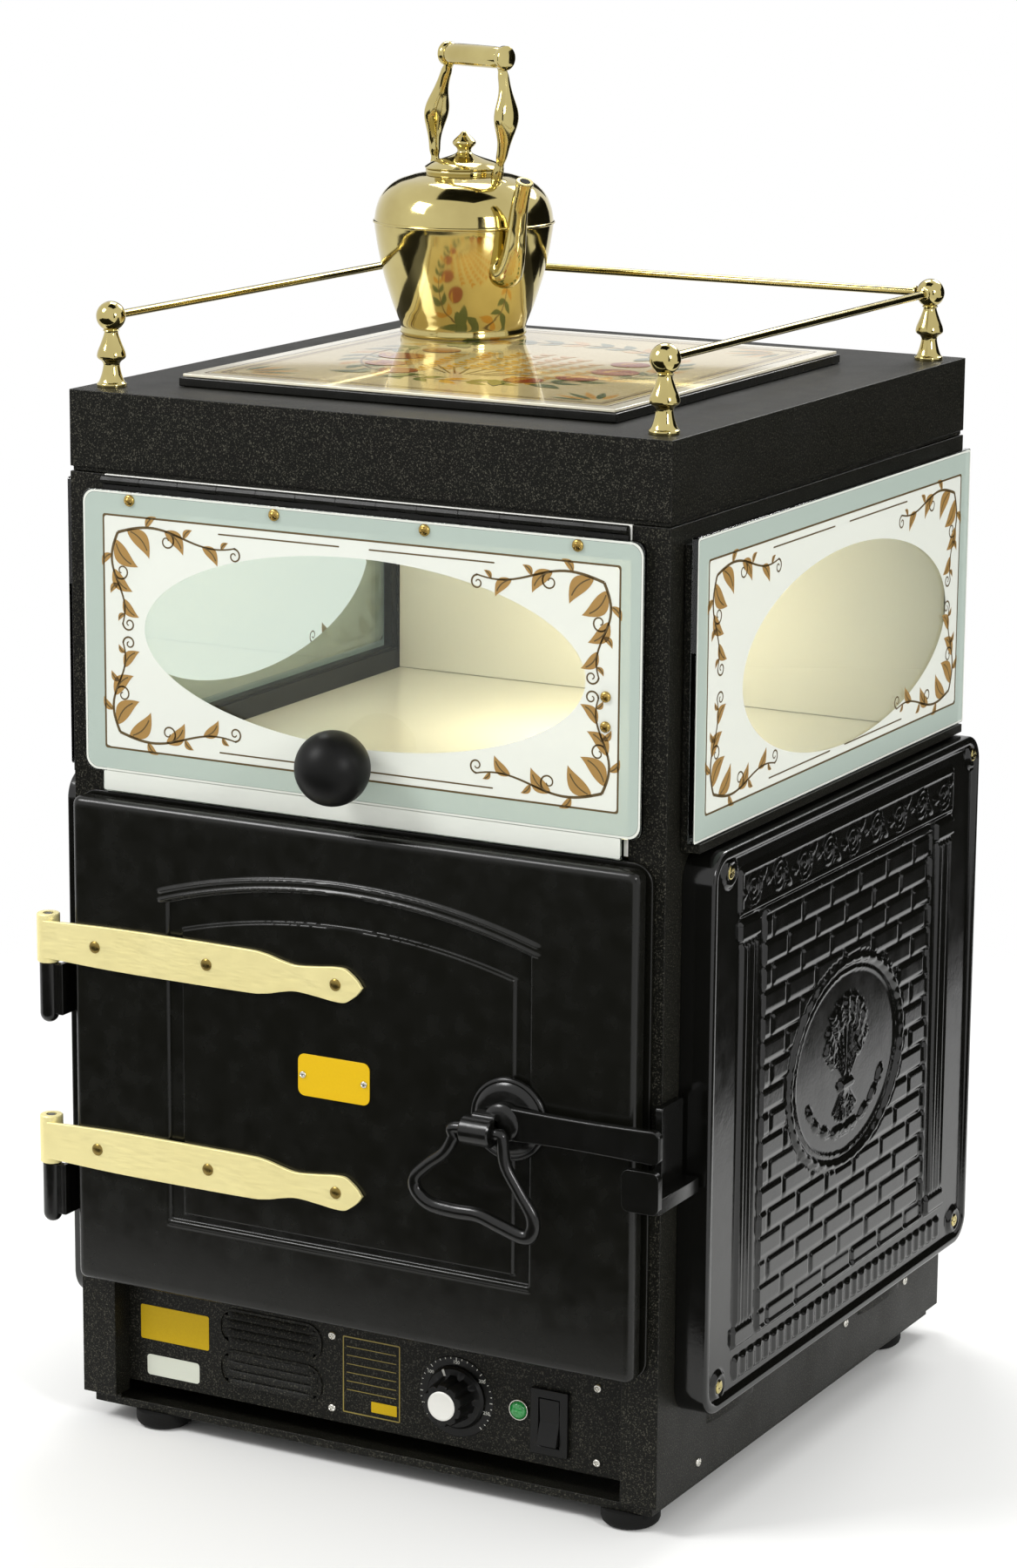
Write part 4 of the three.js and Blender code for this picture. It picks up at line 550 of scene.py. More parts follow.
def film(rings: Array, axis: int, near: float, far: float) -> Shell:
    """A flat piece with an opening: it covers what lies between its first and last ring of points."""
    layers = [placed(rings, axis, near), placed(rings[::-1], axis, far)]
    return grid_shell(np.concatenate(layers), loop=True)


def rounded(u: Pair, v: Pair, radius: float, steps: int = 6) -> Array:
    """A rectangle's outline with round corners: each corner is a quarter circle about a point one radius in.

    Args:
        u: Limits on the first axis.
        v: Limits on the second axis.
        radius: The corners' radius.
        steps: Points on each corner, less one.

    Returns:
        The outline's points.
    """
    quarter = np.linspace(0, TAU / 4, steps + 1)
    turn = np.concatenate([quarter + k * TAU / 4 for k in range(4)])
    (left, right), (foot, head) = inwards(u, radius), inwards(v, radius)
    centre = np.repeat([(right, head), (left, head), (left, foot), (right, foot)], steps + 1, axis=0)
    return centre + ellipse(turn, radius, radius)


def inwards(limits: Pair, step: float) -> Pair:
    """Limits moved inwards by a step."""
    return limits[0] + step, limits[1] - step


def hoop(u: Pair, v: Pair, radius: float, width: float, axis: int, low: float, high: float) -> Shell:
    """A rounded rectangle's outline given a width inwards, and carried from one level to another."""
    inner = rounded(inwards(u, width), inwards(v, width), max(radius - width, 0.3))
    return film(np.stack([rounded(u, v, radius), inner]), axis, low, high)


def inside_rounded(u: Array, v: Array, half_u: float, half_v: float, radius: float) -> Array:
    """How far points lie inside a round-cornered rectangle: the radius less the way past its corners."""
    u, v = np.abs(u) - half_u + radius, np.abs(v) - half_v + radius
    return radius - np.hypot(np.maximum(u, 0), np.maximum(v, 0)) - np.minimum(np.maximum(u, v), 0)


def ramp(value: Array, low: float, high: float) -> Array:
    """A smooth step from 0 at low to 1 at high: three times the square of the share less twice its cube."""
    share = np.clip((value - low) / (high - low), 0, 1)
    return share * share * (3 - 2 * share)


def ridge(distance: Array, half: float) -> Array:
    """A rounded ridge of height 1 on distance 0, falling to 0 at the half width as a cosine does."""
    return np.where(np.abs(distance) < half, 0.5 + 0.5 * np.cos(math.pi * distance / half), 0)


def stations(low: float, high: float, edge: float, step: float, bands: Pairs = ()) -> Array:
    """Places along a side, closer together near both edges. Their count grows at an even rate, or where there
    are bands, at twice that rate inside them and half of it outside.

    Args:
        low: The first place.
        high: The last place.
        edge: How wide the close-spaced edge is.
        step: The spacing between the edges.
        bands: Where fine detail lies.

    Returns:
        The places in order.
    """
    close = edge * (1 - np.cos(np.linspace(0, TAU / 4, 7)))
    sample = np.linspace(low + edge, high - edge, 6001)
    inside = np.zeros(len(sample), bool)
    for first, last in bands:
        inside |= (sample > first) & (sample < last)
    rate = np.where(inside, 2, 0.5 if bands else 1) / step
    total = np.concatenate([[0], np.cumsum((rate[1:] + rate[:-1]) / 2 * np.diff(sample))])
    count = max(int(round(total[-1])), 2)
    between = np.interp(np.linspace(0, total[-1], count + 1)[1:-1], total, sample)
    return np.concatenate([low + close, between, (high - close)[::-1]])


def relief(u: Pair, v: Pair, corner: float, edge: float, step: float, height: Heights,
           bands: Pairs = ()) -> tuple[Array, Array]:
    """Points of a carved face with round corners. Each row is as wide as the outline is at its height, and
    the face drops at the rim along a quarter circle.

    Args:
        u: Limits across.
        v: Limits up.
        corner: The outline's corner radius.
        edge: The rim's rounding.
        step: The spacing of the points.
        height: How far each place stands proud of the face.
        bands: Limits up between which the rows lie closer.

    Returns:
        The places (rows, columns, 2) and how far each stands proud.
    """
    middle_u, middle_v = sum(u) / 2, sum(v) / 2
    half_u, half_v = (u[1] - u[0]) / 2, (v[1] - v[0]) / 2
    rows = stations(-half_v, half_v, edge, step, tuple((a - middle_v, b - middle_v) for a, b in bands))
    columns = stations(-half_u, half_u, edge, step) / half_u
    past = np.maximum(np.abs(rows) - half_v + corner, 0)
    reach = half_u - corner + np.sqrt(np.maximum(corner ** 2 - past ** 2, 0))
    across, up = columns[None] * reach[:, None], np.broadcast_to(rows[:, None], (len(rows), len(columns)))
    inset = np.maximum(edge - np.maximum(inside_rounded(across, up, half_u, half_v, corner), 0), 0)
    drop = edge - np.sqrt(np.maximum(edge ** 2 - inset ** 2, 0))
    places = np.stack([across + middle_u, up + middle_v], axis=-1)
    return places, height(places[..., 0], places[..., 1]) * (inset <= 0) - drop


def backed(front: Array, axis: int, level: float) -> Shell:
    """Closes a carved face: its rim runs straight back to a flat back.

    Args:
        front: The face's points in rows and columns.
        axis: The axis square to the back.
        level: The back's place on that axis.

    Returns:
        The closed shell.
    """
    face = grid_shell(front, ring=False, caps=False)
    rows, columns, _ = front.shape
    index = np.arange(rows * columns).reshape(rows, columns)
    rim = np.concatenate([index[0, :-1], index[:-1, -1], index[-1, :0:-1], index[:0:-1, 0]])
    behind = face.points[rim].copy()
    behind[:, axis] = level
    start = len(face.points)
    back = np.arange(start, start + len(rim))
    walls = np.c_[rim, back, np.roll(back, -1), np.roll(rim, -1)].tolist()
    return Shell(np.vstack([face.points, behind]), face.faces + walls + [back.tolist()])


def hood(along: Array, rise: Array, top: float, fall: float, rows: int, axis: int, seat: float,
         back: float) -> Shell:
    """A pressed hood that leans out downwards: each place stands out by the rise, times the share of the way
    down to the power of 0.7.

    Args:
        along: Places along it.
        rise: How far its lower lip stands out at each place.
        top: The level of its upper edge.
        fall: How far down it reaches.
        rows: How many rows of points it has.
        axis: The axis square to its sheet.
        seat: Where it starts on that axis.
        back: Where its back lies on that axis.

    Returns:
        The hood's shell.
    """
    down = np.linspace(0, 1, rows)[:, None]
    places = np.stack(np.broadcast_arrays(along[None], top - fall * down), axis=-1)
    return backed(placed(places, axis, seat + np.sign(seat - back) * rise[None] * down ** 0.7), axis, back)


def leaf_outline(length: float, width: float, bend: float) -> Array:
    """A leaf lying along the first axis: its half-width is the sine of its run, drawn towards the stalk, and
    its midrib sags as a parabola does.

    Args:
        length: From stalk to tip.
        width: Across the widest place.
        bend: How far the midrib sags.

    Returns:
        The outline's points.
    """
    run = np.linspace(0, 1, 14)
    half = 0.5 * width * np.sin(math.pi * run ** 0.8)
    middle = bend * 4 * run * (1 - run)
    upper = np.c_[run * length, middle + half]
    lower = np.c_[run * length, middle - half]
    return np.vstack([upper, lower[-2:0:-1]])


def bearing(degrees: float) -> Array:
    """The unit direction at a bearing in degrees: its cosine and sine."""
    return np.array([math.cos(math.radians(degrees)), math.sin(math.radians(degrees))])


def ellipse(turn: Array, wide: float = 1, tall: float = 1) -> Array:
    """Points of an ellipse at bearings in radians: one half-width times the cosine, the other the sine."""
    return np.c_[wide * np.cos(turn), tall * np.sin(turn)]


def turned(outline: Array, degrees: float, place: Place) -> Array:
    """An outline turned about the origin and then moved to a place."""
    cos, sin = bearing(degrees)
    return outline @ np.array([[cos, sin], [-sin, cos]]) + place


def ribbon(line: Array, width: float | Array) -> Array:
    """An outline of a given width along a line: each point steps half the width to either side.

    Args:
        line: The line's points.
        width: The width, for all points or for each.

    Returns:
        The outline's points.
    """
    direction = np.gradient(line, axis=0)
    direction /= np.linalg.norm(direction, axis=1)[:, None]
    half = (width / 2 * np.ones(len(line)))[:, None]
    aside = np.c_[-direction[:, 1], direction[:, 0]] * half
    return np.vstack([line + aside, (line - aside)[::-1]])


# What every sub-assembly can do


@dataclass
class Assembly:
    """A group of pieces; the base of every sub-assembly. It makes a shared finish when it is first asked for,
    and turns shapes into named pieces that ride on a body."""

    frame: dict[str, Any]
    finishes: dict[Finish, Material]

    def build(self) -> None:
        """Makes the group's pieces."""
        raise NotImplementedError

    def material(self, finish: Finish) -> Material:
        """The material of a finish."""
        if finish not in self.finishes:
            self.finishes[finish] = finish.build()
        return self.finishes[finish]

    def limits(self, node: str) -> tuple[Array, Array]:
        """A CAD node's lowest and highest corners in millimetres."""
        low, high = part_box(node)
        return np.array(low) / MM, np.array(high) / MM

    def middle(self, node: str) -> Array:
        """A CAD node's middle."""
        low, high = self.limits(node)
        return (low + high) / 2

    def foot(self, node: str) -> Array:
        """The middle of a CAD node's underside."""
        low, high = self.limits(node)
        return np.array([*(low[:2] + high[:2]) / 2, low[2]])

    def facing(self, node: str, y: float) -> Triple:
        """The place in line with a CAD node's middle, seen from the front, at a level on Y."""
        x, _, z = self.middle(node)
        return x, y, z

    def dress(self, mesh: Mesh, finish: Finish) -> None:
        """Gives a mesh one finish."""
        mesh.materials.clear()
        mesh.materials.append(self.material(finish))

    def coat(self, finish: Finish, *nodes: str) -> None:
        """Gives CAD nodes a finish."""
        for node in nodes:
            self.dress(self.frame["nodes"][node].data, finish)

    def tidy(self, mesh: Mesh, flat: bool = False) -> None:
        """Closes a mesh's seams and poles and turns its faces outwards.

        Args:
            mesh: The mesh.
            flat: Whether neighbouring faces in one plane become one face.
        """
        work = bmesh.new()
        work.from_mesh(mesh)
        bmesh.ops.remove_doubles(work, verts=work.verts, dist=0.002 * MM)
        bmesh.ops.dissolve_degenerate(work, edges=work.edges, dist=0.001 * MM)
        if flat:
            bmesh.ops.dissolve_limit(work, angle_limit=math.radians(0.5), verts=work.verts, edges=work.edges)
        bmesh.ops.recalc_face_normals(work, faces=work.faces)
        work.to_mesh(mesh)
        work.free()

    def mesh(self, name: str, shell: Shell) -> Mesh:
        """Makes a mesh in metres.

        Args:
            name: Its name.
            shell: Its shape.

        Returns:
            The mesh.
        """
        mesh = bpy.data.meshes.new(name)
        mesh.from_pydata((shell.points * MM).tolist(), [], shell.faces)
        self.tidy(mesh)
        return mesh

    def piece(self, name: str, shape: Shell | Mesh, finish: Finish, body: str = "oven", replaces: str = "",
              bevel: float = 0, smooth: float = 40) -> None:
        """Puts a piece into the scene.

        Args:
            name: The piece's name.
            shape: Its shell, or its ready mesh.
            finish: Its finish.
            body: The body that it rides on.
            replaces: The CAD node that it stands for, if there is one.
            bevel: Rounding of its sharp edges in millimetres, or 0.
            smooth: Edges flatter than this many degrees are shaded smooth.
        """
        mesh = self.mesh(name, shape) if isinstance(shape, Shell) else shape
        self.dress(mesh, finish)
        piece = bpy.data.objects.new(name, mesh)
        bpy.context.scene.collection.objects.link(piece)
        if bevel:
            rounding = piece.modifiers.new("rounded_edges", "BEVEL")
            rounding.width = bevel * MM
            rounding.segments = 3
            rounding.limit_method = "ANGLE"
            rounding.angle_limit = math.radians(35)
            rounding.use_clamp_overlap = False
            rounding.harden_normals = True
        mesh.shade_smooth()
        mesh.set_sharp_from_angle(angle=math.radians(smooth))
        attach(piece, body)
        if replaces:
            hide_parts(replaces)
        log.info("%s rides on %s", name, body)

    def softened(self, finish: Finish, bevel: float, *nodes: str, body: str = "oven") -> None:
        """Copies CAD solids and rounds their edges; the copies take the solids' places.

        Args:
            finish: The copies' finish.
            bevel: The rounding in millimetres.
            *nodes: The nodes' names.
            body: The body that they ride on.
        """
        for node in nodes:
            mesh = self.frame["nodes"][node].data.copy()
            mesh.name = f"{node}_softened"
            self.tidy(mesh, flat=True)
            self.piece(f"{node}_softened", mesh, finish, body, node, bevel, 30)

    def screw(self, place: Place, axis: Place, radius: float, rise: float) -> Shell:
        """A domed screw head with a cross recess: the dome's height falls as a circle's does, and dips along
        both arms of the cross.

        Args:
            place: The middle of the head's seat.
            axis: Which way the head faces.
            radius: The head's radius.
            rise: The head's height.

        Returns:
            The head's shell.
        """
        share = np.linspace(1, 0, 9)
        dome = np.c_[share * radius, rise * (0.35 + 0.65 * np.sqrt(1 - share ** 2))]
        shell = lathe(np.vstack([(0, 0), (radius, 0), dome]), (0, 0, 0), UP, 24)
        x, y, z = shell.points.T
        arm = np.minimum(np.abs(x), np.abs(y)) < radius * 0.14
        near = np.maximum(np.abs(x), np.abs(y)) < radius * 0.6
        z = np.where(arm & near & (z > rise * 0.5), z - rise * 0.3, z)
        points = np.c_[x, y, z] @ np.array(basis(axis)) + place
        return Shell(points, shell.faces)


# The oven's sub-assemblies


@dataclass
class Case(Assembly):
    """Folded sheet case: panels, tray, box lid, moulded feet, and the pressings low on each side."""

    sheet_edge: float = 0.6
    sole: Pairs = (
        (0, 0), (15, 0), (17.5, 0.6), (19.2, 2.2), (20, 4.4), (20, 11.2), (19.4, 11.7), (0, 11.7))
    screws: Pairs = ((86, 57), (-150, 33), (190, 57))
    vents: Pair = (110, 355)
    vent_half: float = 36
    vent_top: float = 45
    vent_fall: float = 9
    vent_rise: float = 3

    def build(self) -> None:
        """Makes the case's pieces. A vent's hood stands out as the root of a half sine along it."""
        self.softened(POWDER_COAT, self.sheet_edge, "left_side_panel", "right_side_panel", "rear_panel",
                      "base_tray", "top_cap")
        for corner in CORNERS:
            node = f"foot_{corner}"
            self.piece(f"{node}_moulded", lathe(self.sole, self.foot(node), UP, 36), RUBBER_AND_SPOUT_SHADE, replaces=node)
        low, high = self.limits("right_side_panel")
        along = np.linspace(-self.vent_half, self.vent_half, 25)
        rise = self.vent_rise * np.sin(math.pi * (along + self.vent_half) / (2 * self.vent_half)) ** 0.5
        heads, hoods = [], []
        for side in (-1, 1):
            face = side * high[0]
            heads += [self.screw((face, y, z), (side, 0, 0), 3.2, 1.8) for y, z in self.screws]
            hoods += [hood(low[1] + vent + along, rise, low[2] + self.vent_top, self.vent_fall, 9, 0,
                           face + side * 0.1, face + side * 0.02) for vent in self.vents]
        self.piece("side_screws", together(heads), SCREW_STEEL)
        self.piece("side_vent_hoods", together(hoods), POWDER_COAT)


@dataclass
class ControlPanel(Assembly):
    """Recessed panel with its dial, lamp, switch, plates, louvres and screws, and the rear cable gland."""

    screws: Pairs = (
        (-201.5, 89.7), (-202, 32), (-32.4, 89.3), (-32.5, 37), (172, 89.3), (172, 36.7))
    plates: tuple[tuple[str, Pair, Pair, float, float, Finish], ...] = (
        ("blank_yellow_label", (-188, -132), (60, 85), 1.5, 0.25, LABEL_YELLOW),
        ("blank_silver_label", (-183, -140), (34, 49), 2.5, 0.25, LABEL_SILVER),
        ("ruled_panel_block", (-1.5, 18.5), (39.8, 47.4), 0.5, 0.2, LABEL_YELLOW))
    rules: tuple[float, ...] = (52.5, 58.7, 64.9, 71.1, 77.3, 83.5)
    pockets: Pair = (51, 81)
    louvre_x: float = -82
    louvre_half: float = 37.5
    louvre_step: float = 6.4
    louvre_fall: float = 4.2
    louvre_rise: float = 2.6
    knob: Pairs = (
        (0, 0), (21.6, 0), (22, 0.5), (22, 2), (20.4, 3.8), (16.4, 4.2), (16, 5), (15.6, 12),
        (15, 19), (14.2, 20.4), (12.6, 20.8), (0, 20.8))
    cap: Pairs = ((0, 0), (10.2, 0), (10.2, 0.5), (9.7, 1), (8.6, 1.1), (8.2, 0.9), (0, 1.15))
    scale: Pairs = ((22.6, 0), (28.4, 0), (28.4, 0.3), (28, 0.7), (22.6, 0.7))
    marks: int = 31
    numbers: tuple[str, ...] = ("50", "100", "150", "200", "250")
    lens_radius: float = 6.2
    lens_rim: Pairs = ((6.3, 0), (7.5, 0), (7.5, 0.8), (7.1, 1.3), (6.6, 1.3), (6.3, 0.9))
    gland: Pairs = (
        (4.5, 0), (9, 0), (9, 12.3), (14.6, 12.3), (15, 12.8), (15, 16), (14.4, 16.5), (10.4, 16.5),
        (10.2, 24), (9.2, 28), (6.6, 30.2), (4.9, 30.3), (4.5, 29.8))

    def build(self) -> None:
        """Makes the panel's pieces."""
        self.face = self.limits("control_panel")[0][1]
        self.softened(POWDER_COAT, 0.3, "control_panel")
        self.softened(BLACK_PLASTIC, 0.6, "switch_housing")
        self.softened(BLACK_PLASTIC, 0.6, "rocker_switch", body="rocker")
        self.coat(LINER_STEEL, "thermostat")
        heads = [self.screw((x, self.face, z), FRONT, 3, 1.8) for x, z in self.screws]
        self.piece("panel_screws", together(heads), SCREW_STEEL)
        self.labels()
        self.louvres()
        self.dial()
        self.dial_scale()
        self.lamp()
        shell = lathe(self.gland, self.facing("cable_gland", self.limits("cable_gland")[0][1]), BACK, 96,
                      self.gland_ribs, hollow=True)
        self.piece("cable_gland_moulded", shell, BLACK_PLASTIC, replaces="cable_gland")

    def labels(self) -> None:
        """Makes the blank labels and the ruled panel."""
        front = self.face - 0.05
        for name, u, v, corner, thick, finish in self.plates:
            self.piece(name, slab(rounded(u, v, corner), 1, front - thick, front), finish)
        lines = [slab(rounded((-21, 18), (z, z + 0.5), 0.2, 2), 1, front - 0.2, front) for z in self.rules]
        border = hoop((-24, 21), (36, 91), 1, 0.8, 1, front, front - 0.2)
        self.piece("ruled_panel_lines", together([border, *lines]), MARK_GOLD)

    def louvres(self) -> None:
        """Makes the pressed hoods over the louvre slots, in two pockets of four. Each hood's ends round off
        as a parabola does."""
        shells = []
        for middle in self.pockets:
            for k in range(4):
                half = self.louvre_half - (3 if k in (0, 3) else 0)
                along = np.linspace(-half, half, 31)
                bow = np.clip((half - np.abs(along)) / 6, 0, 1)
                top = middle + (k - 1.5) * self.louvre_step + 2.4
                shells.append(hood(self.louvre_x + along, self.louvre_rise * bow * (2 - bow), top,
                                   self.louvre_fall, 7, 1, self.face - 0.05, self.face - 0.01))
            shells.append(hoop((-123.5, -40.5), (middle - 13.6, middle + 13.6), 12, 1.8, 1, self.face - 0.02,
                               self.face - 1))
        self.piece("louvre_hoods", together(shells), POWDER_COAT)

    def flutes(self, angle: Array, height: Array) -> Array:
        """Ten grip flutes, cut as a raised cosine above the dial's skirt, as factors on the radius."""
        cut = np.clip(np.cos(10 * angle) - 0.2, 0, 1) * ((height > 4.5) & (height < 20.5))
        return 1 - 0.14 * cut

    def gland_ribs(self, angle: Array, height: Array) -> Array:
        """Six flats on the gland's flange and twelve ribs on its nut, as factors on the radius."""
        flats = np.cos(TAU / 12) / np.cos(np.mod(angle, TAU / 6) - TAU / 12)
        return np.select([(height > 12) & (height < 16.6), (height > 20) & (height < 29)],
                         [flats, 1 + 0.03 * np.cos(12 * angle)], 1)

    def dial(self) -> None:
        """Makes the fluted dial with its spindle, its bright cap and its pointer."""
        x, back, z = spot = self.facing("thermostat_dial", self.face - 0.3)
        spindle = lathe([(0, 0), (3, 0), (3, 14), (0, 14)], spot, BACK, 16)
        self.piece("thermostat_dial_moulded", lathe(self.knob, spot, FRONT, 160, self.flutes) + spindle,
                   BLACK_PLASTIC, "dial", "thermostat_dial")
        self.piece("dial_cap", lathe(self.cap, (x, back - 20.75, z), FRONT, 48), CAP_SILVER, "dial")
        needle = turned(rounded((15.4, 21), (-0.8, 0.8), 0.4, 2), 114, (x, z))
        self.piece("dial_pointer", slab(needle, 1, back - 4.3, back - 3), MARK_WHITE, "dial")

    def dial_scale(self) -> None:
        """Makes the dial's plate, its marks over 270 degrees, and its numbers, which are joined into one
        mesh."""
        x, _, z = spot = self.facing("thermostat_dial", self.face - 0.02)
        self.piece("dial_plate", lathe(self.scale, spot, FRONT, 72, hollow=True), BLACK_PLASTIC)
        marks = []
        for k in range(self.marks):
            bar = rounded((26.6 - 0.9 * (k % 5 == 0), 27.9), (-0.25, 0.25), 0.2, 2)
            bar = turned(bar, 225 - 270 * k / (self.marks - 1), (x, z))
            marks.append(slab(bar, 1, self.face - 0.8, self.face - 0.7))
        self.piece("dial_marks", together(marks), MARK_WHITE)
        work = bmesh.new()
        for k, words in enumerate(self.numbers):
            across, up = 24.5 * bearing(225 - 270 * (k + 0.5) / len(self.numbers))
            curve = bpy.data.curves.new("dial_number", "FONT")
            curve.body = words
            curve.size = 3.4 * MM
            curve.extrude = 0.06 * MM
            curve.align_x = curve.align_y = "CENTER"
            holder = bpy.data.objects.new("dial_number", curve)
            mesh = bpy.data.meshes.new_from_object(holder)
            bpy.data.objects.remove(holder)
            place = Vector((x + across, self.face - 0.78, z + up)) * MM
            mesh.transform(Matrix.Translation(place) @ Matrix.Rotation(TAU / 4, 4, "X"))
            work.from_mesh(mesh)
        mesh = bpy.data.meshes.new("dial_numbers")
        work.to_mesh(mesh)
        work.free()
        self.tidy(mesh)
        self.piece("dial_numbers", mesh, MARK_WHITE, smooth=30)

    def lamp(self) -> None:
        """Makes the green indicator lens, domed as a quarter ellipse, and its bright rim."""
        spot = self.facing("indicator_lens", self.face - 0.3)
        turn = np.linspace(0, TAU / 4, 9)
        dome = ellipse(turn, self.lens_radius, 3.6) + (0, 1.2)
        profile = np.vstack([[0, -12], [4.8, -12], [4.8, 0.2], [self.lens_radius, 0.2], dome])
        self.piece("indicator_lens_moulded", lathe(profile, spot, FRONT, 36), LENS_GREEN,
                   replaces="indicator_lens")
        self.piece("indicator_rim", lathe(self.lens_rim, spot, FRONT, 36, hollow=True), SCREW_STEEL)


@dataclass
class Chamber(Assembly):
    """What the door shuts in: frame, liner, insulation, elements and racks."""

    def build(self) -> None:
        """Gives the chamber's solids their finishes."""
        self.softened(STOVE_ENAMEL, 0.8, "front_frame")
        self.coat(LINER_STEEL, "oven_liner", "lower_element", "upper_element")
        self.coat(MINERAL_WOOL, "insulation_jacket")
        self.coat(BRIGHT_WIRE, "lower_rack", "upper_rack")


@dataclass(frozen=True)
class ArchedPanel:
    """A panel with an arched head: its half-width, its foot and springs above the door's, and its rise."""

    half: float
    foot: float
    spring: float
    rise: float

    def radius(self) -> float:
        """The radius of the arch, whose circle passes through both springs and the crown."""
        return (self.half ** 2 + self.rise ** 2) / (2 * self.rise)

    def past_arch(self, x: Array, up: Array) -> Array:
        """How far points lie past the arch's circle."""
        return np.hypot(x, up - self.spring - self.rise + self.radius()) - self.radius()

    def inside(self, x: Array, up: Array) -> Array:
        """How far points lie inside the panel: the least of the distances to its sides, foot and arch."""
        return np.minimum(np.minimum(self.half - np.abs(x), up - self.foot), -self.past_arch(x, up))


@dataclass
class OvenDoor(Assembly):
    """Enamelled door with its arched moulding, brass straps, blank sign and the pan behind."""

    corner: float = 6
    edge: float = 5
    moulding: ArchedPanel = ArchedPanel(139.5, 54, 279, 21)
    centre_panel: ArchedPanel = ArchedPanel(126, 61, 260, 17)
    fine_rows: Pairs = ((48, 63), (256, 311))
    groove: float = 2.8
    bead: float = 1.5
    spear: Pairs = (
        (0, 0.87), (0.25, 1), (0.62, 1), (0.7, 0.93), (0.755, 0.72), (0.8, 0.6), (0.86, 0.68), (0.91, 0.78),
        (0.945, 0.78), (0.965, 0.6), (0.985, 0.33), (1, 0))
    strap_half: float = 15
    barrel_radius: float = 8
    rivet: Pairs = ((0, 0), (4.2, 0), (4.2, 0.3), (3.6, 0.9), (2.4, 1.4), (0, 1.6))
    rivets: tuple[float, ...] = (-195, -105.6, -5.2)
    rod: float = 6.5
    pin: float = 34

    def build(self) -> None:
        """Makes the door's pieces."""
        low, high = self.limits("door_slab")
        self.low, self.face = low, low[1] + 2
        bands = tuple((low[2] + foot, low[2] + head) for foot, head in self.fine_rows)
        places, proud = relief((low[0], high[0]), (low[2], high[2]), self.corner, self.edge, 1.2,
                               self.carving, bands)
        self.piece("door_slab_enamelled", backed(placed(places, 1, self.face - proud), 1, high[1]),
                   STOVE_ENAMEL, "door", "door_slab", smooth=50)
        self.coat(LINER_STEEL, "door_inner_pan")
        self.coat(GLASS_ROPE, "door_seal")
        for which in ("lower", "upper"):
            self.strap(f"{which}_strap_hinge")
            self.pintle(f"{which}_hinge_pintle")
        front = self.face - 0.05
        plate = slab(rounded((-35.5, 19.5), (270.5, 299.5), 5), 1, front - 0.9, front)
        self.piece("blank_sign_plate", plate, SIGN_YELLOW, "door", bevel=0.3)
        studs = [self.screw((x, front - 0.9, 285), FRONT, 2.4, 1.4) for x in (-31.5, 15.5)]
        self.piece("sign_rivets", together(studs), SCREW_STEEL, "door")

    def carving(self, x: Array, z: Array) -> Array:
        """How far the door's face stands proud: sunk between the moulding's two panels, with two beads
        along the arch and a small step at the foot.

        Args:
            x: Places across.
            z: Places up.

        Returns:
            Heights.
        """
        up = z - self.low[2]
        outer, half = self.moulding, self.moulding.half
        sunk = ramp(outer.inside(x, up), -0.2, 1.6) * (1 - ramp(self.centre_panel.inside(x, up), -1.6, 0.2))
        off = outer.past_arch(x, up)
        beads = ridge(off - 1.4, 2) + ridge(off - 7.2, 2) + 0.4 * ridge(off - 4.3, 5)
        ends = 1 - ramp(np.abs(x), half + 3, half + 7)
        step = 0.4 * ridge(up - outer.foot + 3, 1.4) * (np.abs(x) < half)
        return -self.groove * sunk + self.bead * beads * ends + step

    def strap(self, node: str) -> None:
        """Makes a strap hinge: spear-shaped leaf, rolled barrel, rivets.

        Args:
            node: The CAD strap.
        """
        low, high = self.limits(node)
        z, half, radius = (low[2] + high[2]) / 2, (high[2] - low[2]) / 2, self.barrel_radius
        hinge_x = low[0] + radius
        line = smooth_line(np.array(self.spear) * (high[0] - hinge_x, self.strap_half), 60)
        line[:, 1] = np.maximum(line[:, 1], 0.4)
        outline = np.vstack([line, line[::-1] * (1, -1)]) + (hinge_x, z)
        self.piece(f"{node}_leaf", slab(outline, 1, low[1], low[1] + 3), SATIN_BRASS, "door", node, bevel=0.7,
                   smooth=30)
        ring = [(3.8, -half), (radius - 0.6, -half), (radius, -half + 0.6), (radius, half - 0.6),
                (radius - 0.6, half), (3.8, half)]
        barrel = lathe(ring, (hinge_x, low[1] + radius, z), UP, 40, hollow=True)
        self.piece(f"{node}_barrel", barrel, SATIN_BRASS, "door")
        rivets = [lathe(self.rivet, (x, low[1], z), FRONT, 24) for x in self.rivets]
        self.piece(f"{node}_rivets", together(rivets), AGED_BRASS, "door")

    def pintle(self, node: str) -> None:
        """Makes a hinge bracket: plate, arm, and a rod with a rounded foot and the pin.

        Args:
            node: The CAD bracket.
        """
        low, high = self.limits(node)
        x, y = low[:2] + self.rod
        top, tip = high[2] - low[2] - self.pin, high[2] - low[2]
        turn = np.linspace(0, TAU / 4, 7)
        foot = self.rod * np.c_[np.sin(turn), 1 - np.cos(turn)]
        profile = np.vstack([foot, [(self.rod, top - 0.6), (5.9, top), (3.5, top), (3.5, tip - 1), (2.5, tip),
                                    (0, tip)]])
        self.piece(f"{node}_rod", lathe(profile, (x, y, low[2]), UP, 32), FORGED_ENAMEL, replaces=node)
        reach = (low[2] + self.rod, low[2] + top - 0.3)
        arm = rounded((x, -CASE_HALF - 1.5), (y - 2.8, y + 2.8), 1)
        plate = rounded((-CASE_HALF - 4, -CASE_HALF), (y - 3, high[1]), 1)
        self.piece(f"{node}_bracket", slab(arm, 2, *inwards(reach, 0.2)) + slab(plate, 2, *reach),
                   FORGED_ENAMEL, bevel=0.7, smooth=30)


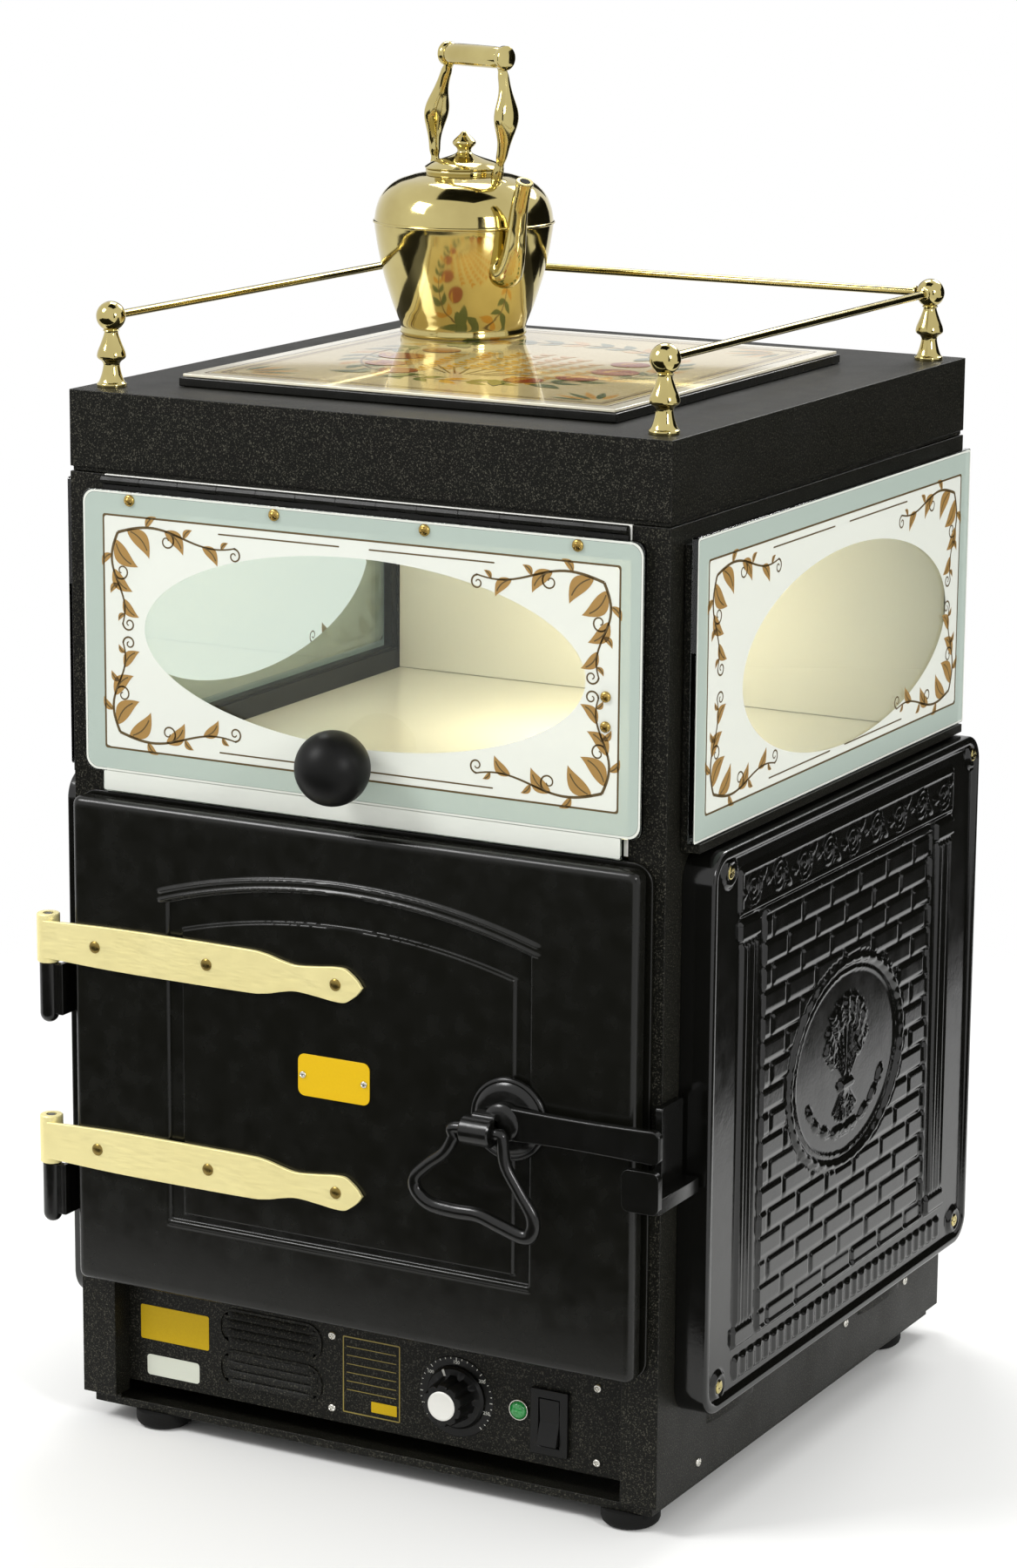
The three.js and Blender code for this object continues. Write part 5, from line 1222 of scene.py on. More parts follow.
@dataclass
class Latch(Assembly):
    """Round boss on the door, level bar with its knuckle, hanging ring, and the keeper on the case."""

    boss: Pairs = (
        (5.3, 0), (27.4, 0), (28, 0.6), (28, 2.2), (27.2, 3.2), (25.6, 3.7), (24.8, 3.4), (23.8, 4.2),
        (21.6, 5.3), (19.5, 5.7), (5.3, 5.7))
    hub: Pairs = ((0, 0), (12.4, 0), (13, 0.6), (13, 6.4), (11.8, 7.8), (8.5, 8.6), (0, 8.8))
    knuckle: Pairs = ((4.7, -11), (8.6, -11), (9.5, -10), (9.5, 10), (8.6, 11), (4.7, 11))
    ring_hinge: Pair = (-12, -5)
    ring_size: Pair = (46, 66)
    ring_shape: Pairs = (
        (0.37, 0), (0.39, -0.08), (0.44, -0.3), (0.66, -0.55), (0.87, -0.78), (0.86, -0.95), (0.72, -1),
        (0.35, -0.93), (0, -0.86), (-0.4, -0.86), (-0.78, -0.83), (-1, -0.72), (-1.02, -0.58), (-0.82, -0.43),
        (-0.54, -0.27), (-0.4, -0.1), (-0.37, 0))
    ring_bar: float = 4.2
    bar_thick: float = 6

    def build(self) -> None:
        """Makes the latch's pieces."""
        low, high = self.limits("latch_escutcheon")
        self.x, _, self.z = (low + high) / 2
        self.back = low[1] - 0.3
        shell = lathe(self.boss, (self.x, high[1], self.z), FRONT, 72, hollow=True)
        self.piece("latch_escutcheon_turned", shell, FORGED_ENAMEL, "door", "latch_escutcheon")
        self.bar()
        self.ring()
        self.keeper()

    def bar(self) -> None:
        """Makes the forged bar, whose half-width thins as a half sine and tapers at the tip, and its hub,
        spindle and knuckle."""
        x, z, seat = self.x, self.z, self.back - 0.7
        low, high = self.limits("latch_bar")
        along = np.linspace(x - 6.5, high[0], 40)
        share = np.linspace(0, 1, 40)
        half = 11.5 - 1.2 * np.sin(math.pi * share) - 3.4 * np.clip((share - 0.96) / 0.04, 0, 1) ** 2
        outline = np.vstack([np.c_[along, z + half], np.c_[along, z - half][::-1]])
        self.piece("latch_bar_forged", slab(outline, 1, seat - self.bar_thick, seat), FORGED_ENAMEL, "latch",
                   "latch_bar", bevel=1.4, smooth=30)
        hub = lathe(self.hub, (x, self.back, z), FRONT, 40)
        length = high[1] - self.back
        spindle = lathe([(0, 0), (5, 0), (5, length), (0, length)], (x, self.back, z), BACK, 20)
        centre, front = x + self.ring_hinge[0], low[1] + 9.5
        knuckle = lathe(self.knuckle, (centre, front, z + self.ring_hinge[1]), RIGHT, 40, hollow=True)
        self.piece("latch_knuckle", hub + spindle + knuckle, FORGED_ENAMEL, "latch")
        web = slab(rounded((front, seat), (z - 6.5, z + 6.5), 3), 0, centre - 6, centre + 11)
        self.piece("latch_knuckle_web", web, FORGED_ENAMEL, "latch", bevel=1.2, smooth=30)

    def ring(self) -> None:
        """Makes the ring: a round bar on a smooth closed line, thicker at its lower corners."""
        line = smooth_line(self.ring_shape + self.ring_shape[:1], 161)[:-1]
        hinge = np.array([self.x, self.z]) + self.ring_hinge
        path = placed(hinge + line * self.ring_size, 1, self.middle("ring_handle")[1])
        thick = self.ring_bar + 0.9 * ramp(-line[:, 1], 0.5, 0.95)
        self.piece("ring_handle_forged", tube(path, BACK, thick, self.ring_bar, 24, loop=True), FORGED_ENAMEL,
                   "ring", "ring_handle")

    def keeper(self) -> None:
        """Makes the keeper: a lip before the door's edge, an arm back from it, and a tab on the case."""
        low, high = self.limits("latch_keeper")
        foot = low[2]
        lip = slab(rounded((low[0], high[0]), (foot, foot + 28), 5), 1, low[1], low[1] + 5.5)
        arm = rounded((CASE_HALF + 0.2, high[0] - 0.2), (low[1] + 1.5, high[1] - 0.2), 1.5, 3)
        tab = slab(rounded((high[1] - 30, high[1]), (foot, high[2]), 2.5), 0, CASE_HALF, CASE_HALF + 5)
        shell = lip + slab(arm, 2, foot + 0.2, foot + 10) + tab
        self.piece("latch_keeper_forged", shell, FORGED_ENAMEL, replaces="latch_keeper", bevel=0.35,
                   smooth=30)


class Side(Enum):
    """Which side of the oven a piece is on."""

    LEFT = -1
    RIGHT = 1


@dataclass
class EtchedPane(Assembly):
    """The etching on a pane: a milky field with a clear oval, ruled frame lines and sprays of leaves.

    The pane lies in the plane of two axes; u runs along it and v up it. The tongue, where there is one, hangs
    below it between two places on u and down to a level.
    """

    name: str
    axis: int
    face: float
    outward: int
    u: Pair
    v: Pair
    centre: Pair
    half: Pair
    body: str
    tongue: Triple | None = None
    corner: float = 9
    inset: float = 16
    wave: float = 5
    sprays: Pair = (92, 62)

    def off(self, distance: float) -> float:
        """The level that lies a distance off the pane's outer face."""
        return self.face + self.outward * distance

    def sheet(self, outline: Array, near: float = 0.14, far: float = 0.2) -> Shell:
        """A thin piece lying between two distances off the pane."""
        return slab(outline, self.axis, *sorted((self.off(near), self.off(far))))

    def band(self, start: float, end: float, near: float, far: float) -> Shell:
        """A band of film between two steps in from the pane's outline, and between two distances off it."""
        rings = [rounded(inwards(self.u, k), inwards(self.v, k), max(self.corner - k * 0.5, 2))
                 for k in (start, end)]
        return film(np.stack(rings), self.axis, self.off(near), self.off(far))

    def field(self) -> Shell:
        """The milky field: rings of points at the same bearings, from the clear oval to the frame line.

        Returns:
            The field's shell.
        """
        angle = np.arange(160) * TAU / 160
        centre = np.array(self.centre)
        heading = ellipse(angle, *self.half)
        low, high = np.array([inwards(self.u, self.inset), inwards(self.v, self.inset)]).T
        with np.errstate(divide="ignore"):
            reach = np.where(heading > 0, high - centre, low - centre) / heading
        reach = np.min(np.abs(reach), axis=1)[:, None]
        share = np.linspace(0, 1, 5)[:, None, None]
        rings = centre + heading * (1 - share + reach * share)
        return film(rings, self.axis, self.off(0.02), self.off(0.08))

    def rules(self) -> list[Shell]:
        """The frame lines: a long line with round corners and a shorter one inside it on each side.

        Returns:
            The lines' shells.
        """
        shells = [self.band(self.inset, self.inset + 1.3, 0.14, 0.2)]
        middle, reach = sum(self.u) / 2, (self.u[1] - self.u[0]) * 0.22
        for v in (self.v[0] + self.inset + 6, self.v[1] - self.inset - 7):
            for side in (-reach, reach):
                first, last = sorted((middle + side * 0.12, middle + side * 1.12))
                shells.append(self.sheet(rounded((first, last), (v, v + 1), 0.4, 2)))
        return shells

    def spray(self, place: Pair, turn: float, hand: int, reach: float) -> tuple[list[Shell], list[Shell]]:
        """A corner spray: a wavy stem, broad leaves in pairs that shrink along it, and two scrolls.

        Args:
            place: Where the spray starts.
            turn: The stem's bearing in degrees.
            hand: 1 or -1, for which way it curls.
            reach: The stem's length.

        Returns:
            The leaves' shells and the stem's.
        """
        run = np.linspace(0, 1, 24)
        stem = np.c_[reach * run, hand * self.wave * np.sin(run * math.pi * 1.8)]
        lines = [self.sheet(turned(ribbon(stem, 2 - run), turn, place))]
        leaves = []
        rib = np.linspace(0.1, 0.8, 8)
        for k in range(6):
            at = 0.08 + 0.16 * k
            root = (reach * at, hand * self.wave * math.sin(at * math.pi * 1.8))
            lean, scale = (-46 * hand, 1) if k % 2 == 0 else (42 * hand, 0.5)
            size = (25 - 2 * k) * scale
            leaf = leaf_outline(size, size * 0.46, hand * size * 0.16)
            vein = ribbon(size * np.c_[rib, hand * 0.64 * rib * (1 - rib)], 0.9)
            leaves.append(self.sheet(turned(turned(leaf, lean, root), turn, place)))
            lines.append(self.sheet(turned(turned(vein, lean, root), turn, place), 0.21, 0.25))
        spiral = run * 1.2 * TAU - TAU / 4
        for at, size in ((0.42, 6.4), (0.99, 5)):
            curl = ellipse(spiral, 1, -hand) * (size * (1 - 0.8 * run))[:, None]
            curl = curl + (reach * at, hand * (self.wave * math.sin(at * math.pi * 1.8) - size))
            lines.append(self.sheet(turned(ribbon(curl, 1.3 - 0.5 * run), turn, place)))
        return leaves, lines

    def build(self) -> None:
        """Makes the etching's pieces."""
        # The outer ring, 0.6 to 2 mm in from the pane's edge, is a whiter band that paints the highlight of
        # the bevelled edge; on the flap the frosted tongue joins it.
        edge = self.band(0.6, 2, 0.02, 0.14)
        if self.tongue:
            left, right, foot = self.tongue
            edge = edge + self.sheet(rounded((left, right), (foot, self.v[0] + 0.2), 1, 2), 0.02, 0.08)
        leaves, lines = [], self.rules()
        for right in (False, True):
            for top in (False, True):
                place = (inwards(self.u, self.inset + 12)[right], inwards(self.v, self.inset + 12)[top])
                hand = 1 if right == top else -1
                for turn, curl, reach in ((180 * right, -hand, self.sprays[0]),
                                          (90 - 180 * top, hand, self.sprays[1])):
                    more_leaves, more_lines = self.spray(place, turn, curl, reach)
                    leaves += more_leaves
                    lines += more_lines
        for part, shell, finish in (
                ("etched_field", self.field(), FROSTED_AND_EDGE_HIGHLIGHT), ("ground_edge", edge, FROSTED_AND_EDGE_HIGHLIGHT),
                ("etched_rim", self.band(2.2, self.inset + 0.4, 0.09, 0.13), FROSTED_RIM),
                ("etched_leaves", together(leaves), ETCHED_LEAF),
                ("etched_lines", together(lines), ETCHED_LINE)):
            self.piece(f"{self.name}_{part}", shell, finish, self.body)


@dataclass
class WarmingCompartment(Assembly):
    """White compartment with its lamp, etched side panes, and the hinged front flap."""

    bulb: float = 20
    neck: float = 12
    top_screws: tuple[float, ...] = (-173, -60.5, 52.5, 163.5)
    catch_screws: Pairs = ((184.5, 562), (184.5, 542.6))
    knob: float = 25

    def build(self) -> None:
        """Makes the compartment's pieces."""
        self.softened(WHITE_ENAMEL, 0.5, "display_floor", "display_liner")
        self.softened(POWDER_COAT, 0.5, "left_glass_frame", "right_glass_frame")
        self.coat(PORCELAIN, "lamp_holder")
        self.lamp()
        for side in Side:
            node = f"{side.name.lower()}_side_glass"
            low, high = self.limits(node)
            self.softened(CLEAR_GLASS, 0.5, node)
            EtchedPane(self.frame, self.finishes, node, 0, high[0] if side is Side.RIGHT else low[0],
                       side.value, (low[1], high[1]), (low[2], high[2]), (36, 558), (165, 68), "oven",
                       corner=2).build()
        self.flap()

    def lamp(self) -> None:
        """Makes the lamp: a ball of glass drawn in to its cap."""
        low, high = self.limits("display_lamp")
        turn = np.linspace(-TAU / 4, TAU / 8, 14)
        ball = ellipse(turn, self.bulb, self.bulb) + (0, self.bulb)
        drawn = smooth_line([ball[-1], (self.neck + 0.6, 42), (self.neck, 48)], 8)[1:]
        profile = np.vstack([ball, drawn, [(self.neck, high[2] - low[2]), (0, high[2] - low[2])]])
        self.piece("display_lamp_blown", lathe(profile, self.foot("display_lamp"), UP), LAMP_GLASS,
                   replaces="display_lamp")

    def flap(self) -> None:
        """Makes the flap's glass, its etching, its hinge, its screws, its catch plate and its ball knob."""
        low, high = self.limits("flap_panel")
        self.softened(CLEAR_GLASS, 0.8, "flap_panel", body="flap")
        EtchedPane(self.frame, self.finishes, "flap", 1, low[1], -1, (low[0], high[0]),
                   (low[2] + 14, high[2]), (4, 571), (166, 63), "flap",
                   tongue=(-196, 196, low[2] + 1)).build()
        self.softened(STOVE_ENAMEL, 0.12, "flap_hinge_fixed_leaf")
        self.softened(STOVE_ENAMEL, 0.12, "flap_hinge_moving_leaf", body="flap")
        heads = [self.screw((x, low[1], high[2] - 6), FRONT, 4, 2.4) for x in self.top_screws]
        heads += [self.screw((x, low[1], z), FRONT, 3.6, 2.6) for x, z in self.catch_screws]
        self.piece("flap_screws", together(heads), SCREW_BRASS, "flap")
        plate = slab(rounded((178, 191), (533, 572), 2), 1, high[1] + 0.02, high[1] + 0.6)
        self.piece("flap_catch_plate", plate, LABEL_SILVER, "flap")
        low, high = self.limits("flap_knob")
        turn = np.linspace(-math.acos(8 / self.knob), TAU / 4, 30)
        ball = ellipse(turn, self.knob, self.knob) + (0, high[1] - low[1] - self.knob)
        ball[-1, 0] = 0
        profile = np.vstack([[(0, 0), (9, 0), (9, 1), (8, 1.8)], ball])
        shell = lathe(profile, self.facing("flap_knob", high[1]), FRONT, 64)
        self.piece("flap_knob_moulded", shell, KNOB_PLASTIC, "flap", "flap_knob")


@dataclass
class CastPlates(Assembly):
    """Side plates cast in low relief: rim bead, head banner of running scrolls, brick courses, fluted
    pilasters, an oval with a sheaf, and corner bosses with brass screws. The design is this file's own.

    The methods take places along and up the plate from its middle and its foot, and give heights.
    """

    corner: float = 20
    rim: float = 7
    rim_radius: float = 2.5
    sunk: float = 3
    screws: Pairs = ((-161, 443), (238, 444), (-165, 95), (228, 96))
    wall_up: float = 182
    wall_half: Pair = (138, 146)
    oval_up: float = 190
    oval_half: Pair = (98, 76)
    post_along: float = 160
    banner_down: float = 34
    banner_pitch: float = 39
    coil: float = 4.6
    brick: Pair = (46, 17)

    def leaf(self, along: Array, up: Array, root: Pair, degrees: float, length: float, width: float,
             high: float) -> Array:
        """A raised leaf: a mound whose half-width is the sine of its run, with a sunk midrib.

        Args:
            along: Places along the plate.
            up: Places up it.
            root: Where the leaf starts.
            degrees: Its bearing.
            length: Its length.
            width: Its widest place.
            high: Its height.

        Returns:
            Heights.
        """
        cos, sin = bearing(degrees)
        forth = ((along - root[0]) * cos + (up - root[1]) * sin) / length
        aside = -(along - root[0]) * sin + (up - root[1]) * cos
        half = 0.5 * width * np.sin(math.pi * np.clip(forth, 0, 1) ** 0.8) + 1e-6
        mound = np.clip(1 - (aside / half) ** 2, 0, 1) ** 0.6
        rib = 1 - 0.45 * np.exp(-(aside / 0.8) ** 2)
        return np.where((forth > 0) & (forth < 1), high * mound * rib, 0)

    def sheaf(self, along: Array, up: Array) -> Array:
        """A tied sheaf: stalks that fan out from the tie, each with an ear of paired grains.

        Args:
            along: Places along the plate from the tie.
            up: Places up it from the tie.

        Returns:
            Heights.
        """
        height = np.zeros_like(along)
        for k in range(-4, 5):
            lean = 90 - 11.5 * k
            cos, sin = bearing(lean)
            reach = 42 - 1.1 * k * k
            for way, length in ((1, reach), (-1, 26)):
                forth, aside = along * cos + up * way * sin, up * cos - along * way * sin
                stalk = 1.5 * ridge(aside, 1.5) * ((forth > 0) & (forth < length))
                height = np.maximum(height, stalk)
            for grain in range(4):
                root = ((reach + 5.2 * grain) * cos, (reach + 5.2 * grain) * sin)
                for hand in (-32, 0, 32):
                    height = np.maximum(height, self.leaf(along, up, root, lean + hand, 8.5, 3.6, 2.8))
        return np.maximum(height, 3 * ramp(inside_rounded(along, up, 12, 4.5, 4), 0, 2.5))

    def banner(self, along: Array, up: Array) -> Array:
        """The head banner: a raised panel with a bead and a running scroll, the spiral's arms each half a
        turn from the last.

        Args:
            along: Places along the plate.
            up: Places up it from the banner's middle.

        Returns:
            Heights.
        """
        pitch = self.banner_pitch
        inside = inside_rounded(along, up, 176, 17, 4)
        height = 1.4 * ramp(inside, 0, 1.6) + 0.9 * ridge(inside - 3.4, 1.5)
        across = np.mod(along + pitch / 2, pitch) - pitch / 2
        up = up * np.where(np.mod(np.floor((along + pitch / 2) / pitch), 2) == 0, 1, -1)
        radius, angle = np.hypot(across, up), np.arctan2(up, across)
        arm = np.mod(radius / self.coil - angle / TAU, 1) - 0.5
        scroll = 1.2 * ridge(arm * self.coil, 1.7) * (radius < 11.5) * (radius > 1)
        heart = 1.6 * np.sqrt(np.clip(1 - (radius / 3.2) ** 2, 0, 1))
        carved = np.maximum(scroll, heart)
        for hand in (-1, 1):
            carved = carved + self.leaf(across, up, (hand * 10, 4 * hand), 90 - 60 * hand, 11, 5, 1.6)
        return height + carved * (inside > 5)

    def courses(self, y: Array, up: Array) -> Array:
        """Brick courses: rows of raised bricks parted by sunk joints, each row half a brick along, and each
        brick of its own height.

        Args:
            y: Places on Y.
            up: Places up the plate.

        Returns:
            Heights.
        """
        long, tall = self.brick
        row = np.floor(up / tall)
        shifted = y + np.mod(row, 2) * long / 2
        joint = inside_rounded(np.mod(shifted, long) - long / 2, np.mod(up, tall) - tall / 2, long / 2 - 1,
                               tall / 2 - 1, 2)
        lump = np.mod(np.sin(row * 12.9 + np.floor(shifted / long) * 78.2) * 43.7, 1)
        return (0.8 + 0.7 * lump) * ramp(joint, 0, 1.8)

    def carving(self, y: Array, z: Array) -> Array:
        """How far the plate's face stands proud of its rim. A fluted pilaster with a block at either end
        stands on each side of the wall.

        Args:
            y: Places on Y.
            z: Places on Z.

        Returns:
            Heights measured from the rim.
        """
        size, (wide, tall) = self.high - self.low, self.oval_half
        along, up = y - (self.low[1] + self.high[1]) / 2, z - self.low[2]
        from_wall, from_oval = up - self.wall_up, up - self.oval_up
        inset = inside_rounded(along, up - size[2] / 2, size[1] / 2, size[2] / 2, self.corner)
        wall = inside_rounded(along, from_wall, *self.wall_half, 6)
        oval = (1 - np.hypot(along / wide, from_oval / tall)) * tall
        ground = np.where((wall > 0) & (oval < 0), self.courses(y, up) * ramp(wall, 0, 2), 0)
        ground += 1.8 * ridge(wall - 1.5, 2.2) * (oval < 0)
        ground += 2.6 * ridge(oval - 4.5, 4.5) + 1.3 * ridge(oval - 11.5, 1.6)
        turn = np.arctan2(from_oval * wide / tall, along)
        ground += 1.2 * ridge(oval - 4.5, 4) * (0.5 + 0.5 * np.cos(turn * 44))
        ground = np.where(oval > 13, self.sheaf(along, from_oval + 16), ground)
        for hand in (-1, 1):
            for k in range(5):
                degrees = 200 + 17 * k if hand < 0 else -20 - 17 * k
                leaf = self.leaf(along, from_oval, bearing(degrees) * (66, 50), degrees - hand * 105, 17, 7.5,
                                 2.4)
                ground = np.maximum(ground, leaf * (oval > 13))
        half = self.wall_half[1]
        ends = ramp(half - np.abs(from_wall), 14, 18)
        for hand in (-1, 1):
            aside = along - hand * self.post_along
            post = inside_rounded(aside, from_wall, 13, half, 3)
            flute = 0.5 + 0.5 * np.cos(aside * TAU / 5.2)
            ground = np.where(post > 0, (1.2 + 1.3 * flute * ends) * ramp(post, 0, 1.5), ground)
            for end in (7 - half, half - 7):
                stone = inside_rounded(aside, from_wall - end, 15, 7, 1.5)
                ground = np.maximum(ground, 2.8 * ramp(stone, 0, 1.5))
        ground = np.maximum(ground, self.banner(along, up - size[2] + self.banner_down))
        for y0, z0 in self.screws:
            boss = 11.5 - np.hypot(y - y0, z - z0)
            ground = np.where(boss > 0, 2.6 * ramp(boss, 0, 3) - ramp(boss, 5, 6.5), ground)
        darts = 1 + 1.4 * (0.5 + 0.5 * np.cos(along * TAU / 12))
        ground = np.maximum(ground, darts * ramp(inside_rounded(along, up - 21, 172, 8, 2), 0, 1.6))
        floor = -self.sunk * ramp(inset, self.rim - 1.4, self.rim + 1.4)
        return floor + np.minimum(ground, 2.9) * ramp(inset, self.rim + 1, self.rim + 3)

    def build(self) -> None:
        """Makes each side's plate and its screws as on the right, and mirrors them for the left."""
        for side in Side:
            node = f"{side.name.lower()}_cast_plate"
            self.low, self.high = low, high = self.limits(node)
            back, outer = sorted((abs(low[0]), abs(high[0])))
            places, proud = relief((low[1], high[1]), (low[2], high[2]), self.corner, self.rim_radius, 1.5,
                                   self.carving)
            shell = backed(placed(places, 0, outer + proud), 0, back)
            heads = together([self.screw((outer - 1.4, y, z), RIGHT, 4.6, 1.35) for y, z in self.screws])
            if side is Side.LEFT:
                shell, heads = shell.mirrored(), heads.mirrored()
            self.piece(f"{node}_relief", shell, CAST_ENAMEL, replaces=node, smooth=60)
            self.piece(f"{node}_screws", heads, BRIGHT_BRASS)


@dataclass
class Gallery(Assembly):
    """Brass gallery: four turned posts with ball finials and three rails between them."""

    stem: Pairs = (
        (10, 0), (10, 2), (8.6, 3.4), (7, 7.5), (5.9, 12), (5.6, 15), (6.8, 17), (9, 18.6), (9.8, 20.4),
        (9.2, 23.6), (7.2, 28.5), (5.2, 34), (4.7, 36.4), (5.6, 37.4))
    ball: float = 10
    ball_up: float = 47
    rail_end: Pairs = ((0, 0), (4.2, 0), (4.4, 0.6), (4, 1.8), (2.8, 2.4))

    def build(self) -> None:
        """Makes the posts, each a turned stem and a ball, and the rails, with a small collar at each end."""
        turn = np.linspace(-math.acos(0.5), TAU / 4, 18)
        ball = ellipse(turn, self.ball, self.ball) + (0, self.ball_up)
        ball[-1, 0] = 0
        profile = np.vstack([[(0, 0), (9.4, 0)], smooth_line(self.stem, 60), ball])
        for corner in CORNERS:
            node = f"gallery_post_{corner}"
            self.piece(f"{node}_turned", lathe(profile, self.foot(node), UP), BRIGHT_BRASS, replaces=node,
                       smooth=50)
        end = np.array(self.rail_end)
        for where in ("left", "right", "rear"):
            node = f"gallery_rail_{where}"
            low, high = self.limits(node)
            axis = int(np.argmax(high - low))
            start = (low + high) / 2
            start[axis] = low[axis]
            profile = np.vstack([end, end[::-1] * (1, -1) + (0, high[axis] - low[axis])])
            self.piece(f"{node}_drawn", lathe(profile, start, np.eye(3)[axis], 28), BRIGHT_BRASS,
                       replaces=node)


@dataclass
class PictureTile(Assembly):
    """Black slab and a glazed tile printed with a harvest wreath; the print is this file's own design.

    Places in the print are measured from the tile's middle. Inks that overlap have layers of their own.
    """

    border: float = 13
    rules: Pairs = ((10, 1.2), (18, 2.2), (22, 0.9))
    wreath: Pair = (108, 104)
    fruits: tuple[Triple, ...] = ((74, -52, 15), (83, -14, 17), (74, 26, 14), (48, -80, 14))
    broad_leaves: tuple[Triple, ...] = ((66, 46, 60), (80, 48, 92), (60, -94, -20), (30, -88, -62))

    def build(self) -> None:
        """Makes the slab, the tile and the print's inks."""
        self.softened(STOVE_ENAMEL, 0.8, "picture_slab")
        self.softened(TILE_WHITE, 0.5, "picture_tile")
        low, high = self.limits("picture_tile")
        self.top, self.centre = high[2], (low[:2] + high[:2]) / 2
        self.half = (high[:2] - low[:2]) / 2
        brown, *_ = self.inks = [], [], [], []
        ground = slab(self.outline(self.border, 6), 2, self.top + 0.02, self.top + 0.04)
        self.piece("tile_ground_print", ground, TILE_CREAM)
        for inset, width in self.rules:
            rings = np.stack([self.outline(inset, 3), self.outline(inset + width, 3)])
            brown.append(film(rings, 2, self.top + 0.05, self.top + 0.07))
        self.leaf_ring()
        self.sheaf()
        self.basket()
        for name, inks, finish in zip(("brown", "green", "ochre", "rust"), self.inks,
                                      (TILE_BROWN, TILE_GREEN, TILE_OCHRE, TILE_RUST)):
            self.piece(f"tile_{name}_print", together(inks), finish)

    def outline(self, inset: float, steps: int) -> Array:
        """A rectangle's outline at an inset from the tile's edge, with so many steps to a corner."""
        u, v = zip(self.centre - self.half + inset, self.centre + self.half - inset)
        return rounded(u, v, 2, steps)

    def ink(self, outline: Array, place: Place, layer: int) -> Shell:
        """A film of ink; each layer lies three hundredths of a millimetre above the last."""
        base = self.top + 0.02 + 0.03 * layer
        return slab(outline + self.centre + place, 2, base, base + 0.02)

    def leaf_ring(self) -> None:
        """Prints the wreath's leaves in pairs along its stem, and a fan of leaves in each corner."""
        brown, green, ochre, _ = self.inks
        wide, tall = self.wreath
        for k in range(36):
            place = bearing(10 * k) * (wide, tall)
            for hand, size in ((-1, 23), (1, 19)):
                leaf = turned(leaf_outline(size, 9, 1.6 * hand), 10 * k + 90 + hand * 38, (0, 0))
                layer = 1 if hand < 0 else 2
                (green if k % 3 else ochre).append(self.ink(leaf, place + 0.2 * hand, layer))
        turn = np.linspace(0, TAU, 90)
        brown.append(self.ink(ribbon(ellipse(turn, wide, tall), 1.6), (0, 0), 3))
        for k, way in enumerate(((-1, -1), (1, -1), (1, 1), (-1, 1))):
            place = (self.half - self.border - 14) * way
            for j in range(6):
                leaf = leaf_outline(36 - 3 * abs(j - 2.5), 6, 0.2) + (9, 0)
                leaf = turned(leaf, 90 * k + 4 + 16.4 * j, (0, 0))
                (green if j % 2 else ochre).append(self.ink(leaf, place, 1))

    def sheaf(self) -> None:
        """Prints nine ears of wheat with their stalks."""
        brown, _, ochre, _ = self.inks
        for x in 12.5 * np.arange(-4, 5):
            for j in range(9):
                place = (x * (1 + 0.05 * j), -46 + 10.5 * j - 0.02 * x * x)
                for bend, degrees, layer in ((0.6, 58, 4), (-0.6, 122, 5)):
                    grain = turned(leaf_outline(11, 5, bend), degrees, (0, 0))
                    ochre.append(self.ink(grain, place, layer))
            stalk = np.c_[np.linspace(x * 0.3, x, 12), np.linspace(-74, -44, 12)]
            brown.append(self.ink(ribbon(stalk, 1.3), (0, 0), 6))

    def basket(self) -> None:
        """Prints round fruits with a lit crescent, and broad leaves, to either side of the sheaf."""
        _, green, ochre, rust = self.inks
        disc = ellipse(np.arange(28) * TAU / 28, 1, 0.88)
        for hand in (-1, 1):
            for x, y, size in self.fruits:
                rust.append(self.ink(size * disc, (hand * x, y), 9))
                lit = turned(leaf_outline(size * 1.3, size * 0.34, size * 0.22), 80 - 18 * hand, (0, 0))
                ochre.append(self.ink(lit, (hand * x - 0.35 * size, y - 0.4 * size), 10))
            for k, (x, y, degrees) in enumerate(self.broad_leaves):
                leaf = turned(leaf_outline(30, 12, 2), degrees if hand > 0 else 180 - degrees, (0, 0))
                green.append(self.ink(leaf, (hand * x, y), 7 + k % 2))


